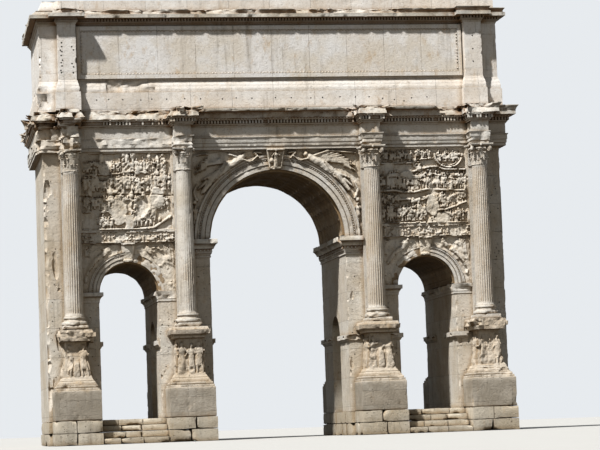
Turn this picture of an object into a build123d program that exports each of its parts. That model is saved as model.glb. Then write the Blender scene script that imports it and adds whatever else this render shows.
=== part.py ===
"""A marble triumphal arch with one wide and two narrow passages.

Four columns on pedestals stand in front of each face and carry an entablature that breaks
forward over them. A hollow attic with a broad blank panel closes the top. The arch stands on
two stone socles, one each side of the roadway, with steps up to the narrow passages.

Lengths are in millimetres. X runs along the faces, Y from front to back, and Z is up. The
origin is on the ground, under the middle of the arch.
"""

import os
from math import cos, radians, sin

from build123d import *

# Plan
body_length = 23270
body_depth = 7060
central_span = 6900
side_span = 2960
inner_pier_length = 2620
cross_passage_width = 2200
springer_bearing = 300

# Socle and steps
socle_height = 1200
socle_ledge = 60
step_count = 4

# Heights above the socle that aren't the sum of other heights
cross_springing_height = 3850
relief_panel_height = 4010
relief_band_height = 550
central_keystone_height = 1010
side_keystone_height = 940

# Columns
shaft_diameter = 900
shaft_top_diameter = 760
shaft_height = 7130
astragal_height = 70
astragal_projection = 35
base_projection = 190
base_plinth_height = 230
lower_torus_height = 180
scotia_height = 130
upper_torus_height = 110
base_fillet_height = 50
bell_height = 890
bell_flare = 120
abacus_height = 140
abacus_projection = 240
abacus_hollow = 110

# Pilasters on the wall behind the columns
pilaster_width = 870
pilaster_projection = 240
pilaster_moulding = 50
column_gap = 20

# Pedestals: the dado, and bands of (height, lower reach, upper reach) around it
dado_width = 1470
dado_height = 1800
plinth_reach = 390
plinth_height = 1450
pedestal_base_bands = ((130, 345, 345), (290, 330, 110), (180, 85, 0))
pedestal_cornice_bands = ((190, 0, 130), (210, 215, 250), (150, 170, 120))

# Entablature: bands of (height, lower reach, upper reach)
entablature_lip = 10
soffit_width = 900
architrave_bands = ((160, 0, 0), (180, 40, 40), (190, 80, 80), (90, 90, 180))
frieze_bands = ((530, 0, 0),)
cornice_bands = ((130, 50, 130), (180, 200, 200), (110, 210, 300), (230, 470, 470), (220, 480, 600))
wall_thickness = 1200

# Attic
attic_overhang = 50
attic_projection = 150
attic_pilaster_width = 900
attic_pilaster_projection = 550
attic_plinth_bands = ((920, 170, 170),)
attic_base_bands = ((250, 120, 120), (400, 110, 0))
attic_wall_height = 2750
attic_cornice_bands = ((180, 20, 120), (150, 180, 180), (220, 330, 330), (200, 340, 450))
parapet_height = 530
parapet_thickness = 700
parapet_setback = 60
roof_thickness = 400
panel_margin = 60
panel_thickness = 70
panel_frame_width = 200
panel_frame_thickness = 60

# Imposts, string course and mouldings of the arches
central_impost_bands = ((160, 40, 40), (250, 80, 80), (240, 90, 260), (250, 370, 370))
side_impost_bands = ((120, 30, 30), (180, 40, 150), (200, 200, 200))
string_course_bands = ((130, 20, 100), (220, 150, 150))
central_archivolt_steps = ((240, 80), (260, 120), (250, 170))
side_archivolt_steps = ((160, 60), (170, 90), (150, 130))
central_keystone = {"foot": 620, "head": 900, "foot_depth": 330, "head_depth": 560}
side_keystone = {"foot": 480, "head": 680, "foot_depth": 240, "head_depth": 380}

# Relief slabs
relief_ground = 160
relief_frame_width = 130
relief_frame_thickness = 60
relief_band_thickness = 140
relief_band_fillet = 70

# Derived plan
half_length = body_length / 2
half_depth = body_depth / 2
central_edge = central_span / 2
side_inner_edge = central_edge + inner_pier_length
side_outer_edge = side_inner_edge + side_span
side_axis = (side_inner_edge + side_outer_edge) / 2
inner_column_x = (central_edge + side_inner_edge) / 2
outer_column_x = (side_outer_edge + half_length) / 2
column_places = (-outer_column_x, -inner_column_x, inner_column_x, outer_column_x)
base_width = shaft_diameter + 2 * base_projection
abacus_width = shaft_top_diameter + 2 * abacus_projection
pilaster_reach = pilaster_projection + pilaster_moulding
column_offset = pilaster_reach + column_gap + max(base_width, abacus_width) / 2
column_y = half_depth + column_offset
bay_start = inner_column_x + pilaster_width / 2
bay_end = outer_column_x - pilaster_width / 2
plinth_half = dado_width / 2 + plinth_reach
footing_half = plinth_half + socle_ledge
footing_front = column_y + footing_half


def total_height(bands):
    """Height of a stack of bands."""
    return sum(band[0] for band in bands)


# Derived heights
pedestal_height = (
    plinth_height + total_height(pedestal_base_bands) + dado_height + total_height(pedestal_cornice_bands)
)
base_height = (
    base_plinth_height + lower_torus_height + scotia_height + upper_torus_height + base_fillet_height
)
capital_height = bell_height + abacus_height
pedestal_top = socle_height + pedestal_height
base_top = pedestal_top + base_height
shaft_top = base_top + shaft_height
pier_top = shaft_top + capital_height
architrave_top = pier_top + total_height(architrave_bands)
frieze_top = architrave_top + total_height(frieze_bands)
cornice_top = frieze_top + total_height(cornice_bands)
attic_plinth_top = cornice_top + total_height(attic_plinth_bands)
attic_base_top = attic_plinth_top + total_height(attic_base_bands)
attic_wall_top = attic_base_top + attic_wall_height
attic_cornice_top = attic_wall_top + total_height(attic_cornice_bands)
relief_bottom = pier_top - relief_panel_height
relief_band_bottom = relief_bottom - relief_band_height
central_springing = pier_top - central_keystone_height - central_edge
side_springing = relief_band_bottom - side_keystone_height - side_span / 2
cross_springing = socle_height + cross_springing_height


def block(x_range, y_range, z_range):
    """A box between two corners."""
    size = [high - low for low, high in (x_range, y_range, z_range)]
    middle = [(high + low) / 2 for low, high in (x_range, y_range, z_range)]
    return Pos(*middle) * Box(*size)


def prism(points, depth):
    """An outline in X and Z, drawn out equally to the front and to the back."""
    face = make_face(Polyline(*points, close=True))
    return extrude(Plane.XZ * face, amount=depth / 2, both=True)


def course(bands, level, plan):
    """Stacks bands on a plan that maps a reach to its outline, from a level upwards."""
    stack = []
    for height, lower_reach, upper_reach in bands:
        lower = Pos(0, 0, level) * make_face(Polyline(*plan(lower_reach), close=True))
        if lower_reach == upper_reach:
            stack.append(extrude(lower, amount=height))
        else:
            upper = Pos(0, 0, level + height) * make_face(Polyline(*plan(upper_reach), close=True))
            stack.append(loft([lower, upper], ruled=True))
        level += height
    return Part() + stack


def stepped_plan(half_x, half_y, places, break_half, break_y):
    """Plan of a course that breaks forward at some places on both faces."""

    def outline(reach):
        front = [(-half_x - reach, -half_y - reach)]
        for place in places:
            left, right = place - break_half - reach, place + break_half + reach
            front += [(left, -half_y - reach), (left, -break_y - reach)]
            front += [(right, -break_y - reach), (right, -half_y - reach)]
        front.append((half_x + reach, -half_y - reach))
        return front + [(x, -y) for x, y in reversed(front)]

    return outline


def rectangle_plan(x_range, y_range):
    """Plan of a plain course that reaches out on all four sides."""

    def outline(reach):
        (left, right), (front, back) = x_range, y_range
        return [
            (left - reach, front - reach),
            (right + reach, front - reach),
            (right + reach, back + reach),
            (left - reach, back + reach),
        ]

    return outline


def ring(solid, inset, level, height):
    """Cuts the inside out of a course, leaving walls that end at an inset from the body's faces."""
    inner = block(
        (-half_length + inset, half_length - inset),
        (-half_depth + inset, half_depth - inset),
        (level - height, level + 2 * height),
    )
    return solid - inner


def other_side(shape):
    """The same piece on the other side of the roadway."""
    return mirror(shape, Plane.YZ)


def other_face(shape):
    """The same piece on the back face."""
    return mirror(shape, Plane.XZ)


def group(shapes):
    """Like pieces that stand apart, kept as one node."""
    solids = []
    for shape in shapes:
        solids += shape.solids()
    return Compound(solids)


def both_sides(shape):
    """A piece and its mirror image across the roadway."""
    return group([shape, other_side(shape)])


# Socle and steps


def make_socle():
    """Footing of the right-hand pair of piers, with a spur under each pedestal."""
    height = (0, socle_height)
    solid = block(
        (central_edge - socle_ledge, half_length + socle_ledge),
        (-half_depth - socle_ledge, half_depth + socle_ledge),
        height,
    )
    for place in (inner_column_x, outer_column_x):
        sides = (place - footing_half, place + footing_half)
        solid += block(sides, (-footing_front, footing_front), height)
    return solid


def make_flight():
    """Steps between two pedestals, up to the right-hand narrow passage, on the front."""
    sides = (inner_column_x + footing_half, outer_column_x - footing_half)
    start = half_depth + socle_ledge
    tread = (footing_front - start) / step_count
    riser = socle_height / step_count
    steps = [
        block(sides, (-start - tread * (step_count - i), -start), (riser * i, riser * (i + 1)))
        for i in range(step_count)
    ]
    return Part() + steps


# Piers and vaults


def make_outer_pier():
    """Pier at the right-hand end. The narrow vault bears on its inner edge."""
    bearing_edge = side_outer_edge + springer_bearing
    outline = [
        (side_outer_edge, socle_height),
        (half_length, socle_height),
        (half_length, pier_top),
        (bearing_edge, pier_top),
        (bearing_edge, side_springing),
        (side_outer_edge, side_springing),
    ]
    return prism(outline, body_depth)


def make_inner_pier():
    """Pier between the wide and the narrow passage, pierced by a small cross passage."""
    outline = [
        (central_edge, socle_height),
        (side_inner_edge, socle_height),
        (side_inner_edge, side_springing),
        (side_inner_edge - springer_bearing, side_springing),
        (side_inner_edge - springer_bearing, pier_top),
        (central_edge + springer_bearing, pier_top),
        (central_edge + springer_bearing, central_springing),
        (central_edge, central_springing),
    ]
    radius = cross_passage_width / 2
    opening = block(
        (central_edge - springer_bearing, side_inner_edge + springer_bearing),
        (-radius, radius),
        (socle_height - socle_ledge, cross_springing),
    )
    head = Pos(inner_column_x, 0, cross_springing) * Rot(0, 90, 0) * Cylinder(radius, 2 * inner_pier_length)
    return prism(outline, body_depth) - opening - head


def make_vault(axis, span, springing):
    """Masonry over a passage, from the springing to the entablature."""
    reach = span / 2 + springer_bearing
    mass = block((axis - reach, axis + reach), (-half_depth, half_depth), (springing, pier_top))
    barrel = Pos(axis, 0, springing) * Rot(90, 0, 0) * Cylinder(span / 2, 2 * body_depth)
    return mass - barrel


def wrap_nose(bands, top, edge, far_edge):
    """A moulding round the passage side of a pier. It returns on both faces up to far_edge."""
    side = 1 if far_edge > edge else -1

    def outline(reach):
        near = edge - side * reach
        deep = half_depth + reach
        return [(near, -deep), (far_edge, -deep), (far_edge, deep), (near, deep)]

    level = top - total_height(bands)
    solid = course(bands, level, outline)
    pier = block(
        (min(edge, far_edge + side), max(edge, far_edge + side)),
        (-half_depth, half_depth),
        (level, top),
    )
    return solid - pier


def make_string_courses(pedestal_rows):
    """The string course on the noses of the piers, stopped at the pedestals and cross passages."""
    noses = (
        (central_edge, inner_column_x),
        (side_inner_edge, inner_column_x),
        (side_outer_edge, outer_column_x),
    )
    level = cross_springing - total_height(string_course_bands)
    gap = block(
        (-body_length, body_length),
        (-cross_passage_width / 2, cross_passage_width / 2),
        (level, cross_springing),
    )
    pieces = []
    for edge, far_edge in noses:
        pieces.append(wrap_nose(string_course_bands, cross_springing, edge, far_edge) - gap - pedestal_rows)
    return both_sides(group(pieces))


# Mouldings of the arches


def make_keystone(axis, top, height, size):
    """A tapered block on the front wall, from the crown of an arch up to what it carries."""

    def section(width, depth, level):
        outline = rectangle_plan(
            (axis - width / 2, axis + width / 2), (-half_depth - depth, -half_depth)
        )
        return Pos(0, 0, level) * make_face(Polyline(*outline(0), close=True))

    foot = section(size["foot"], size["foot_depth"], top - height)
    head = section(size["head"], size["head_depth"], top)
    return loft([foot, head], ruled=True)


def make_archivolt(axis, radius, springing, steps, keystone):
    """A half ring of stepped fasciae round an arch on the front wall."""
    rings = []
    for width, thickness in steps:
        outer = radius + width
        start, end = (outer, 0), (-outer, 0)
        face = make_face(
            [
                ThreePointArc(start, (0, outer), end),
                Line(end, (-radius, 0)),
                ThreePointArc((-radius, 0), (0, radius), (radius, 0)),
                Line((radius, 0), start),
            ]
        )
        front = Plane((axis, -half_depth, springing), x_dir=(1, 0, 0), z_dir=(0, -1, 0))
        rings.append(extrude(front * face, amount=thickness))
        radius = outer
    return Part() + rings - keystone


# Wall ornament


def make_wall_pilaster(place):
    """Pilaster behind a column, from the pedestal to the entablature, on the front."""
    half = pilaster_width / 2
    shaft = block(
        (place - half, place + half),
        (-half_depth - pilaster_projection, -half_depth),
        (pedestal_top, pier_top),
    )
    ends = []
    for low, high in ((pedestal_top, base_top), (shaft_top, pier_top)):
        ends.append(block((place - half, place + half), (-half_depth - pilaster_reach, -half_depth), (low, high)))
    return shaft + ends


def make_relief_panel():
    """Framed slab that fills the bay over the right-hand narrow passage, on the front."""
    height = (relief_bottom, pier_top)
    front = -half_depth - relief_ground
    ground = block((bay_start, bay_end), (front, -half_depth), height)
    frame = block((bay_start, bay_end), (front - relief_frame_thickness, front), height)
    frame -= block(
        (bay_start + relief_frame_width, bay_end - relief_frame_width),
        (front - relief_frame_thickness, front),
        (relief_bottom + relief_frame_width, pier_top - relief_frame_width),
    )
    return ground + frame


def make_relief_band():
    """Narrow band under a relief panel, with a fillet along its foot, on the front."""
    front = -half_depth - relief_band_thickness
    band = block((bay_start, bay_end), (front, -half_depth), (relief_band_bottom, relief_bottom))
    fillet = block(
        (bay_start, bay_end),
        (-half_depth - relief_ground - relief_frame_thickness, front),
        (relief_band_bottom, relief_band_bottom + relief_band_fillet),
    )
    return band + fillet


# Pedestals and columns


def make_pedestal(place):
    """Pedestal that stands out from the front wall, with plinth, dado and cornice."""
    back = -half_depth

    def outline(reach):
        side = dado_width / 2 + reach
        front = -column_y - side
        return [(place - side, front), (place + side, front), (place + side, back), (place - side, back)]

    bands = (
        ((plinth_height, plinth_reach, plinth_reach),)
        + pedestal_base_bands
        + ((dado_height, 0, 0),)
        + pedestal_cornice_bands
    )
    return course(bands, socle_height, outline)


def turned(profile):
    """A solid of revolution about the Z axis from points of (radius, height)."""
    return revolve(Plane.XZ * make_face(Polyline(*profile, close=True)), Axis.Z)


def torus(radius, level, height):
    """A convex moulding whose bulge is half its height."""
    bulge = height / 2
    section = make_face(
        [
            Line((0, level), (radius - bulge, level)),
            ThreePointArc((radius - bulge, level), (radius, level + bulge), (radius - bulge, level + height)),
            Line((radius - bulge, level + height), (0, level + height)),
            Line((0, level + height), (0, level)),
        ]
    )
    return revolve(Plane.XZ * section, Axis.Z)


def make_column_base():
    """Square plinth, two convex mouldings and the hollow between them."""
    half = base_width / 2
    shaft_radius = shaft_diameter / 2
    upper_radius = shaft_radius + base_projection / 2
    level = pedestal_top + base_plinth_height
    solid = block((-half, half), (-half, half), (pedestal_top, level))
    solid += torus(half, level, lower_torus_height)
    level += lower_torus_height
    hollow = level + scotia_height
    lower_radius = half - lower_torus_height / 2
    solid += turned([(0, level), (lower_radius, level), (upper_radius - upper_torus_height / 2, hollow), (0, hollow)])
    solid += torus(upper_radius, hollow, upper_torus_height)
    level = hollow + upper_torus_height
    solid += turned([(0, level), (shaft_radius + base_fillet_height, level), (shaft_radius, base_top), (0, base_top)])
    return solid


def make_shaft():
    """Tapered shaft, straight for its lowest third, with an astragal under the capital."""
    low, high = shaft_diameter / 2, shaft_top_diameter / 2
    neck = shaft_top - astragal_height
    taper_start = base_top + (neck - base_top) / 3
    taper_middle = (taper_start + neck) / 2
    swell = (low - high) / 8
    solid = turned(
        [
            (0, base_top),
            (low, base_top),
            (low, taper_start),
            ((low + high) / 2 + swell, taper_middle),
            (high, neck),
            (high, shaft_top),
            (0, shaft_top),
        ]
    )
    return solid + torus(high + astragal_projection, neck, astragal_height)


def make_capital():
    """Bell that flares to a square abacus with hollow sides."""
    low = shaft_top_diameter / 2
    lip = low + bell_flare
    bell_top = shaft_top + bell_height
    bell = turned(
        [
            (0, shaft_top),
            (low, shaft_top),
            (low + bell_flare / 4, shaft_top + bell_height / 2),
            (lip, bell_top),
            (0, bell_top),
        ]
    )
    half = abacus_width / 2
    hollow_side = half - abacus_hollow
    sides = []
    for turn in range(4):
        start = (half * cos(radians(90 * turn - 45)) * 2**0.5, half * sin(radians(90 * turn - 45)) * 2**0.5)
        end = (half * cos(radians(90 * turn + 45)) * 2**0.5, half * sin(radians(90 * turn + 45)) * 2**0.5)
        middle = (hollow_side * cos(radians(90 * turn)), hollow_side * sin(radians(90 * turn)))
        sides.append(ThreePointArc(start, middle, end))
    abacus = extrude(Pos(0, 0, bell_top) * make_face(sides), amount=abacus_height)
    return bell + abacus


def row_of(shape, face):
    """A piece repeated on the four column axes of the front face, or of the back face."""
    row = [Pos(place, -column_y, 0) * shape for place in column_places]
    if face == "back":
        row = [other_face(piece) for piece in row]
    return group(row)


# Entablature


entablature_reach = pilaster_reach + entablature_lip
entablature_plan = stepped_plan(
    half_length + entablature_reach,
    half_depth + entablature_reach,
    column_places,
    soffit_width / 2,
    column_y + soffit_width / 2,
)


def make_entablature_course(bands, level):
    """A course that breaks forward over each column, as a ring round the inner masonry."""
    return ring(course(bands, level, entablature_plan), wall_thickness, level, total_height(bands))


def make_upper_fill():
    """Inner masonry between the vaults and the attic, inside the entablature."""
    return block(
        (-half_length + wall_thickness, half_length - wall_thickness),
        (-half_depth + wall_thickness, half_depth - wall_thickness),
        (pier_top, cornice_top),
    )


# Attic


attic_half_length = half_length + attic_overhang
attic_half_depth = half_depth + attic_projection
attic_pilaster_places = (-outer_column_x, outer_column_x)
attic_plan = stepped_plan(
    attic_half_length,
    attic_half_depth,
    attic_pilaster_places,
    attic_pilaster_width / 2,
    attic_half_depth + attic_pilaster_projection,
)


def make_attic_course(bands, level, inset):
    """A course of the attic that breaks forward at the pilasters."""
    return ring(course(bands, level, attic_plan), inset, level, total_height(bands))


def make_attic_wall():
    """Front wall of the attic, between its two ends."""
    return block(
        (-half_length + wall_thickness, half_length - wall_thickness),
        (-attic_half_depth, -half_depth + wall_thickness),
        (attic_base_top, attic_wall_top),
    )


def make_attic_end():
    """Right-hand end wall of the attic, through its whole depth."""
    return block(
        (half_length - wall_thickness, attic_half_length),
        (-attic_half_depth, attic_half_depth),
        (attic_base_top, attic_wall_top),
    )


def make_attic_pilaster(place):
    """Plain pilaster of the attic over an outer column, on the front."""
    half = attic_pilaster_width / 2
    return block(
        (place - half, place + half),
        (-attic_half_depth - attic_pilaster_projection, -attic_half_depth),
        (attic_base_top, attic_wall_top),
    )


def make_panel():
    """Broad blank panel in a raised frame between the two pilasters, on the front."""
    end = outer_column_x - attic_pilaster_width / 2 - panel_margin
    sides = (-end, end)
    height = (attic_base_top + panel_margin, attic_wall_top - panel_margin)
    front = -attic_half_depth - panel_thickness
    slab = block(sides, (front, -attic_half_depth), height)
    frame = block(sides, (front - panel_frame_thickness, front), height)
    frame -= block(
        (-end + panel_frame_width, end - panel_frame_width),
        (front - panel_frame_thickness, front),
        (height[0] + panel_frame_width, height[1] - panel_frame_width),
    )
    return slab + frame


def make_parapet():
    """Low parapet on the attic cornice, set back a little from the attic's faces."""
    half_x = attic_half_length - parapet_setback
    half_y = attic_half_depth - parapet_setback
    height = (attic_cornice_top, attic_cornice_top + parapet_height)
    solid = block((-half_x, half_x), (-half_y, half_y), height)
    return ring(solid, parapet_thickness, attic_cornice_top, parapet_height)


def make_roof():
    """Flat roof slab that bears on the inner half of the attic walls."""
    return block(
        (-half_length + parapet_thickness, half_length - parapet_thickness),
        (-half_depth + parapet_thickness, half_depth - parapet_thickness),
        (attic_wall_top, attic_wall_top + roof_thickness),
    )


# Assembly

socle = make_socle()
flights = both_sides(make_flight())
outer_pier = make_outer_pier()
inner_pier = make_inner_pier()
side_vault = make_vault(side_axis, side_span, side_springing)
central_impost = wrap_nose(central_impost_bands, central_springing, central_edge, inner_column_x - pilaster_width / 2)
side_imposts = group(
    [
        wrap_nose(side_impost_bands, side_springing, side_inner_edge, bay_start),
        wrap_nose(side_impost_bands, side_springing, side_outer_edge, bay_end),
    ]
)
central_key = make_keystone(0, pier_top, central_keystone_height, central_keystone)
side_key = make_keystone(side_axis, relief_band_bottom, side_keystone_height, side_keystone)
central_archivolt = make_archivolt(0, central_edge, central_springing, central_archivolt_steps, central_key)
wall_pilasters = group([make_wall_pilaster(place) for place in column_places])
side_archivolt = make_archivolt(side_axis, side_span / 2, side_springing, side_archivolt_steps, side_key)
side_archivolt = side_archivolt - wall_pilasters
keystones = group([central_key, both_sides(side_key)])
relief_panels = both_sides(make_relief_panel())
pedestals = group([make_pedestal(place) for place in column_places])
pedestals_behind = other_face(pedestals)
column_base = make_column_base()
shaft = make_shaft()
capital = make_capital()
attic_wall = make_attic_wall()
attic_pilasters = group([make_attic_pilaster(place) for place in attic_pilaster_places])
panel = make_panel()
relief_bands = both_sides(make_relief_band())
side_archivolts = both_sides(side_archivolt)

pieces = {
    "socle_left": other_side(socle),
    "socle_right": socle,
    "steps_front": flights,
    "steps_back": other_face(flights),
    "outer_pier_left": other_side(outer_pier),
    "outer_pier_right": outer_pier,
    "inner_pier_left": other_side(inner_pier),
    "inner_pier_right": inner_pier,
    "central_vault": make_vault(0, central_span, central_springing),
    "side_vault_left": other_side(side_vault),
    "side_vault_right": side_vault,
    "string_courses": make_string_courses([pedestals, pedestals_behind]),
    "central_imposts": both_sides(central_impost),
    "side_imposts_left": other_side(side_imposts),
    "side_imposts_right": side_imposts,
    "central_archivolts": group([central_archivolt, other_face(central_archivolt)]),
    "side_archivolts": group([side_archivolts, other_face(side_archivolts)]),
    "keystones_front": keystones,
    "keystones_back": other_face(keystones),
    "wall_pilasters_front": wall_pilasters,
    "wall_pilasters_back": other_face(wall_pilasters),
    "relief_panels_front": relief_panels,
    "relief_panels_back": other_face(relief_panels),
    "relief_bands": group([relief_bands, other_face(relief_bands)]),
    "pedestals_front": pedestals,
    "pedestals_back": pedestals_behind,
    "column_bases_front": row_of(column_base, "front"),
    "column_bases_back": row_of(column_base, "back"),
    "column_shafts_front": row_of(shaft, "front"),
    "column_shafts_back": row_of(shaft, "back"),
    "column_capitals_front": row_of(capital, "front"),
    "column_capitals_back": row_of(capital, "back"),
    "main_architrave": make_entablature_course(architrave_bands, pier_top),
    "main_frieze": make_entablature_course(frieze_bands, architrave_top),
    "main_cornice": make_entablature_course(cornice_bands, frieze_top),
    "upper_fill": make_upper_fill(),
    "attic_plinth": make_attic_course(attic_plinth_bands, cornice_top, wall_thickness),
    "attic_base_moulding": make_attic_course(attic_base_bands, attic_plinth_top, wall_thickness),
    "attic_wall_front": attic_wall,
    "attic_wall_back": other_face(attic_wall),
    "attic_end_walls": both_sides(make_attic_end()),
    "attic_pilasters": group([attic_pilasters, other_face(attic_pilasters)]),
    "inscription_panels": group([panel, other_face(panel)]),
    "attic_cornice": make_attic_course(attic_cornice_bands, attic_wall_top, parapet_thickness),
    "attic_parapet": make_parapet(),
    "attic_roof": make_roof(),
}

os.makedirs("parts", exist_ok=True)
for name, piece in pieces.items():
    export_step(piece, f"parts/{name}.step")
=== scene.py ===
"""Looks of the marble triumphal arch: weathered stone, carving and broken mouldings.

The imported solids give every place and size. Pieces with mouldings, flutes, leaves and reliefs
stand for the solids whose carving shows. The plain masonry keeps its solids. Lengths are in
metres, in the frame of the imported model: X along the faces, Y from front to back, Z up.
"""

from itertools import product
from math import cos, hypot, pi, radians, sin

import bmesh
import bpy
import numpy as np
from mathutils import Matrix, Vector


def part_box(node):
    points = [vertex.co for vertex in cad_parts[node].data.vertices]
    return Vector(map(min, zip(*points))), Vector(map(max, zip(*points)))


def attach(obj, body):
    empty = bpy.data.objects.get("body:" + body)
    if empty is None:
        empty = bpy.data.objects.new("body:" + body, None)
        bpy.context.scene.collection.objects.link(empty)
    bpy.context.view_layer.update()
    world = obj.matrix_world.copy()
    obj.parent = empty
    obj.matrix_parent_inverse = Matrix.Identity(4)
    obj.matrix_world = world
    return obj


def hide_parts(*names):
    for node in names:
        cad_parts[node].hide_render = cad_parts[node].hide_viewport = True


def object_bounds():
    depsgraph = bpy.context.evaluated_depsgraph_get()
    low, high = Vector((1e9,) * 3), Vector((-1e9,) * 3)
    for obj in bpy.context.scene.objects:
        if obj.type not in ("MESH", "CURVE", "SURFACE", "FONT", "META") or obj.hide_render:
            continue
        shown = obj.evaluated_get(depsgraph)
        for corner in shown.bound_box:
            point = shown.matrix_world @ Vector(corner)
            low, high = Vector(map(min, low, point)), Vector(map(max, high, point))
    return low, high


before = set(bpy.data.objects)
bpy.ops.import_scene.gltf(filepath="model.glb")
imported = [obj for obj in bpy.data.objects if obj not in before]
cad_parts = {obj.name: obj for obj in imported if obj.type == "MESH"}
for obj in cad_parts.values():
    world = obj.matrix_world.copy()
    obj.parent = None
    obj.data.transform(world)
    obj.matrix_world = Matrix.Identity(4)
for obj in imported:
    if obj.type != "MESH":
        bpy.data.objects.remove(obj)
cad_box = [list(corner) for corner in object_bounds()]


# Levels and places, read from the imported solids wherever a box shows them


def bottom(node):
    """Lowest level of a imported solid."""
    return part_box(node)[0].z


def top(node):
    """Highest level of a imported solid."""
    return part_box(node)[1].z


socle_top = top("socle_left")
pedestal_top = top("pedestals_front")
base_top = top("column_bases_front")
shaft_top = top("column_shafts_front")
pier_top = top("column_capitals_front")
architrave_top = top("main_architrave")
frieze_top = top("main_frieze")
cornice_top = top("main_cornice")
attic_plinth_top = top("attic_plinth")
attic_base_top = top("attic_base_moulding")
attic_wall_top = top("attic_wall_front")
attic_cornice_top = top("attic_cornice")
relief_bottom = bottom("relief_panels_front")
relief_band_bottom = bottom("relief_bands")
central_springing = bottom("central_vault")
side_springing = bottom("side_vault_right")

central_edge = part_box("inner_pier_right")[0].x
side_inner_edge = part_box("inner_pier_right")[1].x
side_outer_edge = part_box("outer_pier_right")[0].x
half_length, half_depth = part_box("outer_pier_right")[1].xy
inner_column_x = (central_edge + side_inner_edge) / 2
outer_column_x = (side_outer_edge + half_length) / 2
side_axis = (side_inner_edge + side_outer_edge) / 2
column_places = (-outer_column_x, -inner_column_x, inner_column_x, outer_column_x)
column_y = -sum(corner.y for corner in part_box("column_shafts_front")) / 2
abacus_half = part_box("column_capitals_front")[1].x - outer_column_x
soffit_half = 0.45
pilaster_half = 0.435
dado_half = 0.735
footing_half = 1.185
footing_ledge = 0.06
footing_y = -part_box("socle_left")[0].y
narrow_radius = 1.48
entablature_reach = 0.30
wall_thick = 1.2
parapet_thick = 0.7
entablature_half = (half_length + entablature_reach, half_depth + entablature_reach)
ressaut_y = column_y + soffit_half
attic_half = tuple(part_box("attic_end_walls")[1].xy)
attic_break_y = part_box("attic_pilasters")[1].y
wall_inside = (half_length - wall_thick, half_depth - wall_thick)
parapet_inside = (half_length - parapet_thick, half_depth - parapet_thick)

FACES = {"front": -1, "back": 1}
SIDES = {"left": -1, "right": 1}
LOST_END_X = -8.9


# Repeatable noise


def lattice(cell, seed):
    """A repeatable value from 0 to 1 at each whole-numbered place."""
    primes, seed_prime, low_bits = (374761393, 668265263, 1442695041), 1274126177, 0xFFFFFFFF
    mixed = sum(cell[..., axis] * prime for axis, prime in enumerate(primes)) + seed * seed_prime
    mixed &= low_bits
    mixed = ((mixed ^ (mixed >> 13)) * seed_prime) & low_bits
    return ((mixed ^ (mixed >> 16)) & 0xFFFF) / 0xFFFF


def smooth_noise(points, size, seed=0):
    """Noise from -1 to 1 that changes smoothly over a distance of size."""
    place = np.asarray(points, float) / size
    cell = np.floor(place).astype(np.int64)
    part = place - cell
    part = part * part * (3 - 2 * part)
    total = 0
    for corner in product((0, 1), repeat=3):
        weight = 1
        for axis, high_side in enumerate(corner):
            weight = weight * (part[..., axis] if high_side else 1 - part[..., axis])
        total = total + weight * lattice(cell + np.array(corner), seed)
    return 2 * total - 1


def rough_noise(points, size, octaves=3, seed=0):
    """Smooth noise with finer and finer layers on it."""
    total, share = 0, 1.0
    for octave in range(octaves):
        total = total + share * smooth_noise(points, size / 2**octave, seed + octave)
        share *= 0.55
    return total


def ease(value, low, high):
    """0 below low, 1 above high, and a smooth step between."""
    part = np.clip((value - low) / (high - low), 0, 1)
    return part * part * (3 - 2 * part)


# Meshes


def make_piece(name, points, faces, material, replaces=(), angle=40):
    """Makes a mesh object in the row frame that rides on the arch."""
    mesh = bpy.data.meshes.new(name)
    points = np.clip(np.asarray(points, float), *cad_box)
    mesh.from_pydata(points.tolist(), [], [list(face) for face in faces])
    mesh.validate()
    mesh.polygons.foreach_set("use_smooth", [True] * len(mesh.polygons))
    mesh.set_sharp_from_angle(angle=radians(angle))
    mesh.materials.append(material)
    piece = bpy.data.objects.new(name, mesh)
    bpy.context.scene.collection.objects.link(piece)
    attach(piece, "root")
    if replaces:
        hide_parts(*replaces)
    return piece


def grid_faces(rows, columns, start=0, loop_rows=False, loop_columns=False):
    """Four-sided faces over a grid of points that is numbered row by row."""
    row_numbers = np.arange(rows if loop_rows else rows - 1)
    column_numbers = np.arange(columns if loop_columns else columns - 1)
    row, column = (grid.ravel() for grid in np.meshgrid(row_numbers, column_numbers, indexing="ij"))
    next_row, next_column = (row + 1) % rows, (column + 1) % columns
    near, far = row * columns, next_row * columns
    faces = np.stack([near + column, near + next_column, far + next_column, far + column], axis=1)
    return (faces + start).tolist()


def grid_border(rows, columns):
    """Numbers of the points on the edge of a grid, in order round it."""
    border = list(range(columns)) + [row * columns + columns - 1 for row in range(1, rows)]
    border += [rows * columns - 1 - column for column in range(1, columns)]
    return border + [row * columns for row in range(rows - 2, 0, -1)]


def turned_over(faces):
    """The same faces, facing the other way."""
    return [tuple(reversed(face)) for face in faces]


def upright(x, z):
    """Points of an upright sheet, without their depth."""
    return np.stack([x, 0 * x, z], axis=-1)


def edge_gap(x, z, x_range, z_range):
    """How far points lie inside a rectangle."""
    return np.minimum.reduce([x - x_range[0], x_range[1] - x, z - z_range[0], z_range[1] - z])


def profile_grid(profile, count):
    """Reaches and heights of a profile, each repeated for a number of places."""
    reach, height = np.array(profile, float).T[..., None] * np.ones(count)
    return reach, height


def closed_turning(rows, segments):
    """Faces of a turned shape whose first and last points are on its axis."""
    faces = [(0, 1 + (s + 1) % segments, 1 + s) for s in range(segments)]
    faces += grid_faces(rows, segments, start=1, loop_columns=True)
    last, end = 1 + (rows - 1) * segments, 1 + rows * segments
    return faces + [(last + s, last + (s + 1) % segments, end) for s in range(segments)]


def turned_grid(radius, height, angles, centre=(0.0, 0.0)):
    """Points round an axis, from grids of radii and heights."""
    return np.dstack([centre[0] + radius * np.cos(angles), centre[1] + radius * np.sin(angles), height])


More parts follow.
